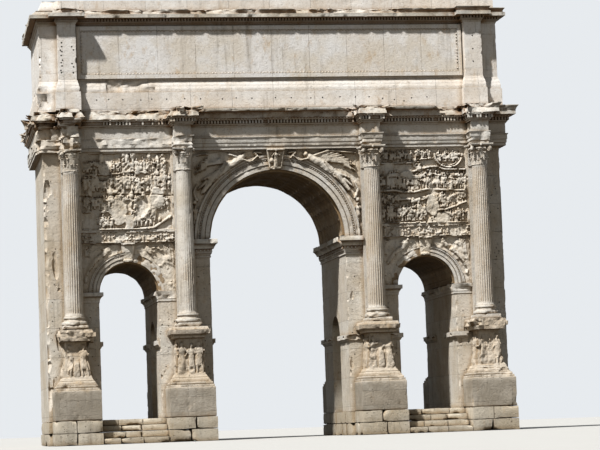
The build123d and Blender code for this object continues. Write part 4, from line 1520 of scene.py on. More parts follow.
def standing_child(carving):
    """A small standing child with a raised arm in the narrow foot of the spandrel."""
    at = carving.at
    carving.figure(at(4.12, 0.75), 0.95, 0.13, robe=0.1)
    carving.limb(at(4.02, 1.95), at(4.2, 2.35), 0.07, 0.10)
    carving.limb(at(4.2, 2.35), at(4.0, 2.75), 0.06, 0.10, 0.0, 0.04)
    carving.oval(at(4.15, 1.85), (0.1, 0.12), 0.11)


def resting_figure(carving):
    """A worn figure that leans on the curve of a narrow arch."""
    at = carving.at
    carving.block(at(0.45, 1.2), at(2.3, 2.35), 0.035)
    carving.limbs(RESTING_LIMBS)
    carving.oval(at(0.90, 2.27), (0.075, 0.085), 0.14)
    for fold in range(5):
        start = at(1.3 + 0.1 * fold, 1.95 - 0.08 * fold)
        end = at(1.55 + 0.1 * fold, 1.55 - 0.12 * fold)
        carving.limb(start, end, 0.03, 0.10, 0.04)
    for reed in range(4):
        carving.limb(at(1.80 + 0.09 * reed, 2.28), at(1.98 + 0.05 * reed, 1.55), 0.03, 0.07, 0.02)
    carving.oval(at(2.12, 0.62), (0.09, 0.16), 0.08)


def add_corner(heap, x, z, forward, side, way):
    """The carved sheet of a spandrel, turned so that it faces out of the wall."""
    sheet = np.dstack([x, side * (half_depth + forward), z])
    add_sheet(heap, sheet if way < 0 else sheet[:, ::-1], side * (half_depth - 0.05))


def make_wide_spandrel(heap, side, mirror):
    """The carved corner on one side of the wide arch."""
    counts = (130, 42) if side < 0 else (80, 28)
    edge = inner_column_x - pilaster_half
    x, z = spandrel_grid(central_springing, central_edge + 0.62, edge, pier_top, counts, 0.085)
    x = mirror * x
    carving = Carving(x, z, 431 + side + 2 * mirror, (0.0, central_springing), mirror)
    winged_figure(carving)
    standing_child(carving)
    carving.folds(carving.at(2.9, 3.2), (1.0, 0.8), 0.13, 0.012, 0.7 * mirror)
    carving.weather(0.30 if mirror * side > 0 else 0.15, 0.9, 437 + mirror + 3 * side)
    add_corner(heap, x, z, 0.03 + np.clip(1.4 * carving.height, -0.02, 0.33), side, mirror)


def make_narrow_spandrel(heap, side, mirror, way):
    """The carved corner on one side of a narrow arch."""
    counts = (84, 30) if side < 0 else (48, 18)
    x, z = spandrel_grid(side_springing, narrow_radius + 0.40, 2.35, relief_band_bottom, counts, 0.12)
    x = way * x + mirror * side_axis
    seed = side + 2 * mirror + 5 * way
    carving = Carving(x, z, 443 + seed, (mirror * side_axis, side_springing), way)
    resting_figure(carving)
    carving.weather(0.5, 0.6, 449 + way + 3 * side + 5 * mirror)
    carving.height += 0.022 * rough_noise(carving.points, 0.16, 2, 457)
    carving.height += 0.012 * rough_noise(carving.points, 0.5, 2, 461)
    add_corner(heap, x, z, 0.02 + np.clip(carving.height, -0.015, 0.3), side, way)


def make_spandrels():
    """Carved corners over the three arches, on both faces."""
    heap = Heap()
    for side, mirror in product((-1, 1), (-1, 1)):
        make_wide_spandrel(heap, side, mirror)
        for way in (-1, 1):
            make_narrow_spandrel(heap, side, mirror, way)
    heap.piece("carved_spandrels", carved_marble, "carving", angle=60)


def add_mouldings(heap, axis, springing, radius, profile, side, kept, seed):
    """A moulded half ring. profile is (outward, forward) pairs from the passage side to the outside.

    kept gives the share of the moulding that is left at an angle from 0 (right) to pi (left).
    """
    turns = np.linspace(0.0, pi, 110 if radius > 2 else 72)
    outward, forward = profile_grid(profile, len(turns))
    x, z = axis + (radius + outward) * np.cos(turns), springing + (radius + outward) * np.sin(turns)
    points = upright(x, z)
    share = ease(kept(turns) + 0.30 * rough_noise(points, 0.6, 3, seed), 0.2, 0.6)
    nick = ease(rough_noise(points, 0.22, 2, seed + 3), 0.45, 1.0) * 0.05
    depth = forward * (0.10 + 0.90 * share) - nick * (forward > 0.05)
    uneven = 0.03 * (1 - share) * rough_noise(points, 0.2, 2, seed + 9)
    uneven += 0.006 * rough_noise(points, 0.15, 2, seed + 5)
    depth += uneven * (forward > 0.01)
    faces = grid_faces(len(profile), len(turns), loop_rows=True)
    right_end = tuple(range(0, outward.size, len(turns)))
    left_end = tuple(place + len(turns) - 1 for place in reversed(right_end))
    if side < 0:
        faces = turned_over(faces) + [right_end, left_end]
    else:
        faces += turned_over([right_end, left_end])
    heap.add(np.dstack([x, side * (half_depth + np.maximum(depth, -0.02)), z]), faces)


CENTRAL_ARCHIVOLT = [
    (0.0, -0.03), (0.0, 0.02), (0.0, 0.08), (0.12, 0.08), (0.195, 0.08), (0.20, 0.055), (0.245, 0.055),
    (0.25, 0.12), (0.34, 0.12), (0.425, 0.12), (0.43, 0.075), (0.545, 0.085), (0.55, 0.15), (0.585, 0.155),
    (0.59, 0.12), (0.64, 0.13), (0.66, 0.165), (0.70, 0.17), (0.75, 0.17), (0.75, 0.05), (0.75, -0.03),
]
SIDE_ARCHIVOLT = [
    (0.0, -0.03), (0.0, 0.02), (0.0, 0.06), (0.08, 0.06), (0.125, 0.06), (0.13, 0.04), (0.165, 0.04),
    (0.17, 0.09), (0.24, 0.09), (0.285, 0.09), (0.29, 0.06), (0.37, 0.065), (0.375, 0.12), (0.42, 0.12),
    (0.425, 0.09), (0.45, 0.125), (0.48, 0.13), (0.48, 0.04), (0.48, -0.03),
]

# Rows of beads: (outward, forward, pitch, height, depth)
CENTRAL_BEADS = [(0.2225, 0.065, 0.085, 0.04, 0.045), (0.487, 0.10, 0.13, 0.085, 0.06)]
SIDE_BEADS = [(0.1475, 0.05, 0.075, 0.032, 0.035), (0.33, 0.075, 0.10, 0.06, 0.045)]


def add_beads(heap, axis, springing, radius, rows, side, kept, seed):
    """Rows of beads and eggs round an arch."""
    for outward, forward, pitch, height, depth in rows:
        away = radius + outward
        y = side * (half_depth + forward - depth * 0.3)
        bead, faces = ball_shape((0.0, 0.0, 0.0), (0.38 * pitch, depth, 0.5 * height), 3, 6)
        for turn in np.arange(pitch / 2, pi * away, pitch) / away:
            x, z = axis + away * cos(turn), springing + away * sin(turn)
            loss = 0.30 * rough_noise(np.array([x, 0.0, z]), 0.6, 3, seed)
            if kept(turn) + loss < 0.42:
                continue
            axes = [(sin(turn), 0.0, -cos(turn)), (0.0, 1.0, 0.0), (cos(turn), 0.0, sin(turn))]
            heap.add(bead @ np.array(axes) + (x, y, z), faces)


def make_archivolts():
    """Mouldings round the arches.

    On the front, each narrow arch has lost its half that is next to the middle.
    """
    wide, narrow = Heap(), Heap()
    for side in (-1, 1):
        place = (0.0, central_springing, central_edge)
        state = (side, lambda turns: 0.95 + 0 * turns, 461 + side)
        add_mouldings(wide, *place, CENTRAL_ARCHIVOLT, *state)
        add_beads(wide, *place, CENTRAL_BEADS, *state)
        for mirror in (-1, 1):

            def kept(turns):
                if side > 0:
                    return 0.7 + 0 * turns
                return 0.75 * ease(np.cos(turns) * mirror, -0.25, 0.2) + 0.05

            place = (mirror * side_axis, side_springing, narrow_radius)
            state = (side, kept, 467 + side + 3 * mirror)
            add_mouldings(narrow, *place, SIDE_ARCHIVOLT, *state)
            add_beads(narrow, *place, SIDE_BEADS, *state)
    wide.piece("wide_archivolts", moulded_marble, "moulding", ["central_archivolts"])
    narrow.piece("narrow_archivolts", moulded_marble, "moulding", ["side_archivolts"])


def make_keystones(face):
    """A figure console in the middle and plainer broken ones over the narrow arches."""
    heap = Heap()
    side = FACES[face]
    part, up = np.meshgrid(np.linspace(-1, 1, 33), np.linspace(0, 1, 41))
    narrow = (relief_band_bottom, 0.94, (0.24, 0.34), (0.24, 0.38))
    keys = [
        (0.0, pier_top, 1.01, (0.31, 0.45), (0.33, 0.56), 0.1),
        (-side_axis, *narrow, 0.4),
        (side_axis, *narrow, 0.5),
    ]
    for number, (axis, head, tall, (foot_half, head_half), (foot_deep, head_deep), worn) in enumerate(keys):
        foot = head - tall
        x, z = axis + part * (foot_half + (head_half - foot_half) * up), foot + tall * up
        carving = Carving(x, z, 471 + number)
        if number == 0:
            carving.figure((axis, foot + 0.07), tall * 0.88, 0.16, robe=0.4)
            carving.shield((axis - 0.2, foot + 0.42), 0.15, 0.13)
            for edge in (-1, 1):
                start, end = (axis + edge * 0.30, foot + 0.1), (axis + edge * 0.40, head - 0.14)
                carving.limb(start, end, 0.05, 0.09)
        carving.limb((axis - head_half, head - 0.06), (axis + head_half, head - 0.06), 0.07, 0.13)
        carving.oval((axis, foot + 0.06), (foot_half, 0.09), 0.10)
        carving.weather(worn, 0.5, 477 + number + 3 * side)
        deep = foot_deep + (head_deep - foot_deep) * up**1.5 - 0.14
        deep *= 1 - 0.35 * worn * ease(rough_noise(carving.points, 0.4, 2, 483 + number), -0.2, 0.6)
        forward = deep + np.clip(carving.height, -0.04, 0.16) - 0.05 * part**6
        add_sheet(heap, np.dstack([x, side * (half_depth + forward), z]), side * half_depth)
    heap.piece(f"carved_keystones_{face}", carved_marble, "carving", [f"keystones_{face}"], angle=55)


for face in FACES:
    make_relief_panels(face)
    make_keystones(face)
make_relief_bands()
make_spandrels()
make_archivolts()


# Pedestals, imposts, socles and steps

PEDESTAL = [
    (0.36, 0.00), (0.385, 0.02), (0.39, 0.05), (0.39, 0.70), (0.39, 1.40), (0.385, 1.43), (0.37, 1.45),
    (0.345, 1.452), (0.345, 1.56), (0.335, 1.568), (0.265, 1.572), (0.28, 1.60), (0.285, 1.64),
    (0.275, 1.68), (0.25, 1.70), (0.205, 1.703), (0.205, 1.76), (0.195, 1.768), (0.145, 1.772),
    (0.14, 1.83), (0.11, 1.88), (0.075, 1.90), (0.075, 1.945), (0.045, 1.955), (0.02, 2.00), (0.00, 2.05),
    (0.00, 3.85), (0.02, 3.86), (0.03, 3.92), (0.08, 3.98), (0.12, 4.02), (0.13, 4.04), (0.215, 4.05),
    (0.225, 4.10), (0.245, 4.20), (0.25, 4.25), (0.17, 4.262), (0.16, 4.30), (0.13, 4.38), (0.12, 4.40),
    (0.00, 4.40),
]
PLINTH_HEAD = 1.44
DADO_FOOT = 2.05
DADO_HEAD = 3.85
PEDESTAL_WEAR = {"front": (0.75, 0.22, 0.5, 0.85), "back": (0.4, 0.6, 0.35, 0.7)}


def pedestal_profile(fine):
    """Profile with the dado divided finely, for its figures, and the plinth coarsely."""
    dense = []
    for start, end in zip(PEDESTAL, PEDESTAL[1:]):
        gap = fine if start[1] == DADO_FOOT else 0.14
        dense += spread([start, end], gap)[:-1]
    return dense + [PEDESTAL[-1]]


def carve_dado(along, z, worn, seed):
    """Three standing figures on one face of a dado."""
    level = socle_top + DADO_FOOT
    carving = Carving(along, z, seed)
    for number, spot in enumerate((-0.43, 0.0, 0.43)):
        tall = carving.luck.uniform(1.42, 1.56)
        foot = (spot + carving.luck.uniform(-0.03, 0.03), level + 0.08)
        carving.figure(foot, tall, 0.12, 1 if number else -1, robe=0.45)
    carving.limb((-0.7, level + 0.05), (0.7, level + 0.05), 0.06, 0.07)
    carving.weather(worn * 0.8, 0.7, seed + 5)
    return carving.height - 0.09


def break_pedestal(points, reach, height, worn, seed):
    """Breaks the upper mouldings of a pedestal back to a rough slope."""
    loss = rough_noise(points, 0.8, 3, seed + 11) * 0.7 + worn - 0.45
    bite = ease(loss + 0.25 * rough_noise(points, 0.3, 2, seed + 13), 0.0, 0.7)
    slope = 0.03 + 0.04 * rough_noise(points, 0.3, 2, seed + 15)
    kept = reach + (np.minimum(reach, slope) - reach) * bite
    reach = np.where(height > DADO_HEAD, kept, reach)
    return reach - 0.02 * worn * bite * ((height > PLINTH_HEAD) & (height < DADO_FOOT))


def pedestal_wear(centre_x, side, worn, seed):
    """Carves figures into three faces of the dado and breaks the mouldings and arrises."""
    front, wall = side * (column_y + dado_half), side * (half_depth + 0.85)

    def wear(points, reach, height):
        x, y = points[..., 0] - centre_x, points[..., 1]
        on_front = (np.abs(y - front) < 0.45) & (np.abs(x) < dado_half)
        dado = (height > DADO_FOOT + 0.02) & (height < DADO_HEAD - 0.02)
        waist = (0.04 + 0.13 * worn) * ease(height, DADO_FOOT + 0.1, DADO_HEAD - 0.5)
        sides = [(on_front, x), (~on_front & (x > 0), y - wall), (~on_front & (x < 0), y - wall)]
        for number, (on_side, along) in enumerate(sides):
            chosen = dado & on_side
            carved = carve_dado(along[chosen], points[..., 2][chosen], worn, seed + number)
            reach[chosen] += carved - waist[chosen]
        reach = break_pedestal(points, reach, height, worn, seed)
        below = height < DADO_FOOT
        arris = np.minimum(np.abs(np.abs(x) - dado_half - reach), np.abs(np.abs(y - front) - reach))
        upper_chip = ease(rough_noise(points, 0.4, 3, seed + 17), 0.3 - 0.3 * worn, 1.0)
        lower_chip = ease(rough_noise(points, 0.5, 3, seed + 23), 0.75 - 0.4 * worn, 1.2)
        chip = np.exp(-arris / 0.12) * np.where(below, lower_chip, upper_chip)
        reach = reach - chip * (0.05 + 0.09 * worn) * (reach > 0.05)
        uneven = 0.012 * rough_noise(points, 0.35, 3, seed + 19)
        uneven += 0.005 * rough_noise(points, 0.1, 2, seed + 21)
        return reach - uneven * np.where(below, 0.4, 1.0), height

    return wear


def make_pedestals(face):
    """Pedestals with standing figures on three faces of the dado."""
    heap = Heap()
    side = FACES[face]
    profile = pedestal_profile(0.042 if side < 0 else 0.07)
    low_y, high_y = sorted((side * (half_depth - 0.13), side * (column_y + dado_half)))
    steps = (0.035, 0.06, 0.4, 0.06) if side < 0 else (0.4, 0.075, 0.062, 0.075)
    for index, (x, y) in enumerate(column_centres(face)):
        left, right = x - dado_half, x + dado_half
        path = [(left, low_y), (right, low_y), (right, high_y), (left, high_y)]
        core = ((x - 0.02, y - 0.02), (x + 0.02, y + 0.02))
        wear = pedestal_wear(x, side, PEDESTAL_WEAR[face][index], 501 + 31 * index + 7 * side)
        heap.add(*course_shell(path, socle_top, profile, core, steps, wear))
    heap.piece(f"carved_pedestals_{face}", pedestal_marble, "pedestal", [f"pedestals_{face}"], angle=50)


CENTRAL_IMPOST = [
    (0.0, 0.0), (0.05, 0.0), (0.05, 0.07), (0.03, 0.08), (0.04, 0.13), (0.08, 0.18), (0.10, 0.20),
    (0.10, 0.23), (0.10, 0.42), (0.19, 0.425), (0.20, 0.46), (0.23, 0.53), (0.28, 0.60), (0.33, 0.65),
    (0.36, 0.67), (0.37, 0.68), (0.37, 0.80), (0.36, 0.82), (0.36, 0.89), (0.35, 0.90), (0.0, 0.90),
]
SIDE_IMPOST = [
    (0.0, 0.0), (0.03, 0.0), (0.03, 0.12), (0.045, 0.125), (0.06, 0.17), (0.10, 0.23), (0.14, 0.29),
    (0.19, 0.305), (0.20, 0.315), (0.20, 0.485), (0.19, 0.50), (0.0, 0.50),
]
IMPOST_DENTIL_PITCH = 0.19
IMPOST_DENTIL_HALF = 0.055
IMPOST_DENTIL_REACH = (0.09, 0.17)
IMPOST_DENTIL_RISE = (0.26, 0.40)


def make_impost(heap, level, profile, edge, far_edge, mirror, worn, seed):
    """A moulding round the passage side of a pier, cut off at far_edge."""
    cut = np.minimum if mirror * (far_edge - edge) > 0 else np.maximum
    beyond = far_edge + (0.4 if far_edge > edge else -0.4)
    low_x, high_x = sorted((mirror * edge, mirror * beyond))
    path = [(low_x, -half_depth), (high_x, -half_depth), (high_x, half_depth), (low_x, half_depth)]

    def wear(points, reach, height):
        loss = ease(rough_noise(points, 0.9, 3, seed) + worn, 0.35, 1.1)
        ragged = 0.03 + 0.04 * rough_noise(points, 0.3, 2, seed + 3)
        reach = reach + (np.minimum(reach, ragged) - reach) * loss * (reach > 0.05)
        nick = ease(rough_noise(points, 0.2, 2, seed + 5), 0.4, 1.0) * (reach > 0.06)
        return reach - 0.04 * nick + 0.006 * rough_noise(points, 0.15, 2, seed + 7), height

    middle = (low_x + high_x) / 2
    core = ((middle - 0.1, -half_depth + 0.4), (middle + 0.1, half_depth - 0.4))
    points, faces = course_shell(path, level, spread(profile), core, 0.11, wear)
    points[..., 0] = cut(points[..., 0], mirror * far_edge)
    heap.add(points, faces)


def impost_dentils(heap, mirror, level):
    """Small blocks under the cornice of a wide impost, on the two faces and in the passage."""
    foot, head = (level + rise for rise in IMPOST_DENTIL_RISE)
    half = IMPOST_DENTIL_HALF
    for side in (-1, 1):
        front, back = sorted(side * (half_depth + reach) for reach in IMPOST_DENTIL_REACH)
        end = inner_column_x - pilaster_half - 0.05
        for x in mirror * np.arange(central_edge + 0.1, end, IMPOST_DENTIL_PITCH):
            worn_block(heap, (x - half, front, foot), (x + half, back, head), 0.2, 0.1, 557)
    left, right = sorted(mirror * (central_edge - reach) for reach in IMPOST_DENTIL_REACH)
    for y in np.arange(-half_depth + 0.1, half_depth - 0.05, IMPOST_DENTIL_PITCH):
        worn_block(heap, (left, y - half, foot), (right, y + half, head), 0.2, 0.1, 559)


def make_imposts():
    """Imposts of the wide arch, and of both narrow ones."""
    wide = Heap()
    level = bottom("central_imposts")
    inner_near, inner_far = inner_column_x - pilaster_half, inner_column_x + pilaster_half
    outer_near = outer_column_x - pilaster_half
    for mirror in SIDES.values():
        make_impost(wide, level, CENTRAL_IMPOST, central_edge, inner_near, mirror, 0.15, 541 + mirror)
        impost_dentils(wide, mirror, level)
    wide.piece("wide_imposts", cornice_marble, "moulding", ["central_imposts"])
    for name, mirror in SIDES.items():
        node = f"side_imposts_{name}"
        narrow = Heap()
        place = (narrow, bottom(node), SIDE_IMPOST)
        make_impost(*place, side_inner_edge, inner_far, mirror, 0.45, 547 + mirror)
        make_impost(*place, side_outer_edge, outer_near, mirror, 0.65, 551 + mirror)
        narrow.piece(f"narrow_imposts_{name}", moulded_marble, "moulding", [node])


def split(low, high, count, seed, unevenness=0.16):
    """Divides a length into uneven parts."""
    luck = np.random.default_rng(seed)
    cuts = np.arange(1, count) + luck.uniform(-unevenness, unevenness, count - 1)
    return low + np.concatenate([[0], cuts, [count]]) * (high - low) / count


def lay_blocks(heap, low, high, counts, step, wear, seed):
    """Fills a box with worn blocks in courses with staggered joints."""
    levels = split(low[2], high[2], counts[2], seed, 0.06)
    for course, (foot, head) in enumerate(zip(levels, levels[1:])):
        xs = split(low[0], high[0], counts[0], seed + 3 * course + 1)
        for row, (left, right) in enumerate(zip(xs, xs[1:])):
            ys = split(low[1], high[1], counts[1], seed + 7 * course + row)
            for number, (front, back) in enumerate(zip(ys, ys[1:])):
                luck = seed + 13 * course + row + number
                worn_block(heap, (left, front, foot), (right, back, head), step, wear, luck)


def make_socles():
    """Footings of worn travertine blocks."""
    y_edge = half_depth + footing_ledge
    for name, mirror in SIDES.items():
        heap = Heap()
        edges = (central_edge - footing_ledge, half_length + footing_ledge)
        left, right = sorted(mirror * edge for edge in edges)
        low, high = (left, -y_edge, 0.0), (right, y_edge, socle_top)
        lay_blocks(heap, low, high, (4, 5, 2), 0.4, 0.5, 561 + mirror)
        for place, side in product((inner_column_x, outer_column_x), (-1, 1)):
            front, back = sorted((side * (y_edge - 0.3), side * footing_y))
            low = (mirror * place - footing_half, front, 0.0)
            high = (mirror * place + footing_half, back, socle_top)
            lay_blocks(heap, low, high, (2, 1, 2), 0.17, 0.5, int(571 + place + side + 2 * mirror))
        heap.piece(f"socle_blocks_{name}", travertine, "socle", [f"socle_{name}"], angle=50)


def make_flights(face):
    """Worn travertine steps up to the narrow passages."""
    heap = Heap()
    side, steps, under = FACES[face], 4, 0.12
    start = half_depth + footing_ledge
    ends = (inner_column_x + footing_half, outer_column_x - footing_half)
    tread, riser = (footing_y - start) / steps, socle_top / steps
    for mirror, number in product((-1, 1), range(steps)):
        xs = split(*sorted(mirror * end for end in ends), 3, 581 + number + mirror, 0.25)
        back, front = start + tread * (steps - 1 - number) - under, start + tread * (steps - number)
        low_y, high_y = sorted((side * back, side * front))
        for course, (left, right) in enumerate(zip(xs, xs[1:])):
            low, high = (left, low_y, riser * number), (right, high_y, riser * (number + 1))
            worn_block(heap, low, high, 0.09, 0.55, 587 + number + 5 * course + side)
    heap.piece(f"step_blocks_{face}", travertine, "steps", [f"steps_{face}"], angle=50)


for face in FACES:
    make_pedestals(face)
    make_flights(face)
make_imposts()
make_socles()


# Coffers, chipped arrises and dowel holes


def add_slab(heap, front, back):
    """A closed slab between two grids of points. The front grid faces out."""
    counts = front.shape[:2]
    size = counts[0] * counts[1]
    border = grid_border(*counts)
    faces = grid_faces(*counts) + turned_over(grid_faces(*counts, start=size))
    faces += [(b, a, a + size, b + size) for a, b in zip(border, border[1:] + border[:1])]
    heap.add(np.concatenate([front, back]), faces)


def make_coffers(name, axis, springing, radius, counts, depth, seed):
    """Ribs and rosettes under a vault, worn in patches. counts are the coffers round it and along it."""
    heap = Heap()
    length = half_depth - 0.22
    turns = np.linspace(0.03, pi - 0.03, counts[0] * 6 + 1)
    turn, y = np.meshgrid(turns, np.linspace(-length, length, counts[1] * 6 + 1), indexing="ij")
    round_part = (turn - turns[0]) / (turns[-1] - turns[0]) * counts[0] % 1
    along_part = (y + length) / (2 * length) * counts[1] % 1
    rib = 1 - ease(edge_gap(round_part, along_part, (0, 1), (0, 1)), 0.08, 0.2)
    rose = 1 - ease(np.hypot(round_part - 0.5, along_part - 0.5), 0.08, 0.22)
    points = np.stack([turn * radius, y, 0 * y], axis=-1)
    worn = 0.7 * ease(rough_noise(points, 1.3, 3, seed), 0.2, 0.8) * ease(length - np.abs(y), 0.1, 0.6)
    height = depth * np.maximum(rib, 0.8 * rose) * (1 - worn)
    height += 0.008 * rough_noise(points, 0.3, 2, seed + 3)

    def shell(distance):
        x, z = axis + distance * np.cos(turn), springing + distance * np.sin(turn)
        return np.dstack([x, y, z])[:, ::-1]

    add_slab(heap, shell(radius - 0.012 - height), shell(radius + 0.03))
    heap.piece(name, vault_stone, "vault", angle=50)


def post(x, y, low, high):
    """The two ends of an upright line."""
    return (x, y, low), (x, y, high)


def add_chips(heap, start, end, out, count, size, seed):
    """Rough lumps along an arris. Cut away, they leave it chipped."""
    luck = np.random.default_rng(seed)
    start, end = np.array(start, float), np.array(end, float)
    out = np.array(out, float) / np.linalg.norm(out)
    along = (end - start) / np.linalg.norm(end - start)
    axes = np.array([out, np.cross(along, out), along])
    for number in range(count):
        place = start + (end - start) * luck.uniform(0.01, 0.99)
        reach = size * luck.uniform(0.25, 1.0) ** 1.4
        radii = (reach, reach * luck.uniform(0.7, 1.1), reach * luck.uniform(0.8, 2.6))
        points, faces = ball_shape((0.0, 0.0, 0.0), radii, 5, 7)
        points = points * (1 + 0.3 * rough_noise(points + 3.7 * number, reach, 2, seed))[:, None]
        heap.add(place + out * reach * luck.uniform(0.2, 0.6) + points @ axes, faces)


def add_holes(heap, places, out, radius=0.035, depth=0.09):
    """Short prisms across a face. Cut away, they leave dowel holes."""
    out = np.array(out, float)
    across, up = np.cross((0.0, 0.0, 1.0), out), np.array((0.0, 0.0, 1.0))
    ring = []
    for level, turn in product((-depth, 0.03), np.linspace(0, 2 * pi, 6, endpoint=False)):
        ring.append(level * out + radius * (cos(turn) * across + sin(turn) * up))
    faces = [(i, (i + 1) % 6, (i + 1) % 6 + 6, i + 6) for i in range(6)]
    faces += [(5, 4, 3, 2, 1, 0), (6, 7, 8, 9, 10, 11)]
    for place in places:
        heap.add(np.array(ring) + place, faces)


def cut_away(piece, heap, angle=30):
    """Takes the shapes of a heap out of a piece."""
    mesh = bpy.data.meshes.new("cutter")
    mesh.from_pydata(np.concatenate(heap.points).tolist(), [], heap.faces)
    cutter = bpy.data.objects.new("cutter", mesh)
    bpy.context.scene.collection.objects.link(cutter)
    step = piece.modifiers.new("cut", "BOOLEAN")
    step.operation = "DIFFERENCE"
    step.object = cutter
    step.solver = "EXACT"
    step.use_self = True
    bpy.context.view_layer.update()
    solved = bpy.data.meshes.new_from_object(piece.evaluated_get(bpy.context.evaluated_depsgraph_get()))
    piece.modifiers.remove(step)
    old = piece.data
    piece.data = solved
    bpy.data.meshes.remove(old)
    bpy.data.objects.remove(cutter)
    bpy.data.meshes.remove(mesh)
    solved.name = piece.name
    solved.set_sharp_from_angle(angle=radians(angle))


def copy_node(name, node, slot):
    """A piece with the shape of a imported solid, ready to be cut."""
    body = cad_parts[node]
    shape = bmesh.new()
    shape.from_mesh(body.data)
    shape.transform(body.matrix_world)
    bmesh.ops.remove_doubles(shape, verts=shape.verts, dist=1e-5)
    points = [tuple(vertex.co) for vertex in shape.verts]
    faces = [[vertex.index for vertex in face.verts] for face in shape.faces]
    shape.free()
    return make_piece(name, points, faces, FINISHES[slot], [node], 30)


def scatter(x_range, z_range, y, count, seed):
    """Scattered places on a front or back wall."""
    luck = np.random.default_rng(seed)
    return [(luck.uniform(*x_range), y, luck.uniform(*z_range)) for _ in range(count)]


CROSS_PASSAGE_HALF = 1.1
CROSS_PASSAGE_TOP = 5.0
STRIP = (0.1, 0.75)


def chip_corners(outer, inner, side, mirror, seed):
    """Chips along the arrises on one face of a pair of piers, and where the cross passage opens."""
    corners = [
        (outer, half_length, 1, pier_top, 34, 0.20),
        (outer, side_outer_edge, -1, side_springing, 18, 0.17),
        (inner, side_inner_edge, 1, side_springing, 16, 0.15),
        (inner, central_edge, -1, central_springing, 20, 0.16),
    ]
    if side < 0 and mirror < 0:
        corners[0] = (outer, half_length, 1, pier_top, 46, 0.34)
    for number, (heap, x, out, head, count, size) in enumerate(corners):
        line = post(mirror * x, side * half_depth, socle_top, head)
        add_chips(heap, *line, (mirror * out, side, 0.0), count, size, seed + number)
    for number, (x, out) in enumerate(((side_inner_edge, 1), (central_edge, -1))):
        line = post(mirror * x, side * CROSS_PASSAGE_HALF, socle_top, CROSS_PASSAGE_TOP)
        add_chips(inner, *line, (mirror * out, -side, 0.0), 8, 0.12, seed + 9 + number)


def mark_strips(outer, inner, side, mirror, seed):
    """Dowel holes and spalls on the strips of wall beside the pilasters."""
    near, far = STRIP
    strips = [
        (outer, (side_outer_edge + near, side_outer_edge + far), (1.5, 6.8), 11),
        (outer, (half_length - far, half_length - near), (2.0, 14.0), 12),
        (inner, (side_inner_edge - far, side_inner_edge - near), (1.5, 6.8), 6),
        (inner, (central_edge + near, central_edge + far), (1.5, 8.9), 7),
    ]
    y = side * half_depth
    for number, (heap, x_range, z_range, count) in enumerate(strips):
        x_range = sorted(mirror * x for x in x_range)
        add_holes(heap, scatter(x_range, z_range, y, count, seed + 30 + number), (0.0, side, 0.0))
        spalls, size = (14, 0.26) if side < 0 and mirror < 0 and heap is outer else (3, 0.16)
        for spot, (x, _, z) in enumerate(scatter(x_range, z_range, y, spalls, seed + 50 + number)):
            line = post(x, y + side * 0.03, z - 0.15, z + 0.15)
            add_chips(heap, *line, (0.0, side, 0.0), 2, size, seed + 70 + spot)


def chip_piers():
    """Piers with chipped arrises, spalled faces and dowel holes."""
    for name, mirror in SIDES.items():
        outer, inner = Heap(), Heap()
        for side in (-1, 1):
            seed = 601 + 20 * side + 5 * mirror
            chip_corners(outer, inner, side, mirror, seed)
            mark_strips(outer, inner, side, mirror, seed)
        luck = np.random.default_rng(631 + mirror)
        ends = [(mirror * half_length, luck.uniform(-3.2, 3.2), luck.uniform(1.6, 14.0)) for _ in range(26)]
        add_holes(outer, ends, (mirror, 0.0, 0.0))
        for heap, node in ((outer, "outer_pier"), (inner, "inner_pier")):
            cut_away(copy_node(f"chipped_{node}_{name}", f"{node}_{name}", "pier"), heap)


# Dowel holes along the plinth: (place, rise above the row)
PLINTH_HOLES = [
    (-8.9, 0.0), (-8.3, 0.02), (-7.6, 0.0), (-6.7, -0.03), (-6.15, 0.01), (-5.4, 0.0), (-4.5, 0.02),
    (-3.7, 0.0), (-2.6, -0.02), (-1.9, 0.02), (-1.1, 0.0), (0.1, 0.01), (0.9, 0.0), (1.9, -0.02),
    (2.5, 0.0), (3.4, 0.02), (4.2, 0.0), (4.9, 0.0), (5.6, -0.09), (6.2, -0.16), (6.7, -0.23),
    (7.1, -0.08), (7.9, -0.04),
]


def chip_attic():
    """Chipped attic corners and the dowel holes left by lost fittings."""
    ends, pilasters, plinth = Heap(), Heap(), Heap()
    for mirror, side in product((-1, 1), (-1, 1)):
        seed = 3 * mirror + side
        line = post(mirror * attic_half[0], side * attic_half[1], attic_base_top, attic_wall_top)
        add_chips(ends, *line, (mirror, side, 0.0), 9, 0.16, 641 + seed)
        for edge in (-1, 1):
            x = mirror * outer_column_x + edge * soffit_half
            line = post(x, side * attic_break_y, attic_base_top, attic_wall_top)
            add_chips(pilasters, *line, (edge, side, 0.0), 7, 0.09, 647 + seed + 11 * edge)
    luck = np.random.default_rng(653)
    rows = []
    for row, edge in product(range(10), (-0.28, 0.28)):
        rows.append((edge - outer_column_x + luck.uniform(-0.05, 0.05), 18.35 + 0.17 * row))
    holes = [(x, -attic_break_y, z + luck.uniform(-0.05, 0.05)) for x, z in rows if luck.random() < 0.8]
    holes += [(outer_column_x - 0.02, -attic_break_y, z) for z in (18.75, 19.4, 20.08)]
    add_holes(pilasters, holes, (0.0, -1.0, 0.0), 0.045)
    y, level = -attic_half[1] - 0.16, attic_plinth_top - 0.36
    add_holes(plinth, [(x, y, level + rise) for x, rise in PLINTH_HOLES], (0.0, -1.0, 0.0), 0.04)
    cut_away(bpy.data.objects["attic_plinth_slabs"], plinth, 50)
    cut_away(copy_node("chipped_attic_ends", "attic_end_walls", "attic"), ends)
    cut_away(copy_node("chipped_attic_pilasters", "attic_pilasters", "attic"), pilasters)


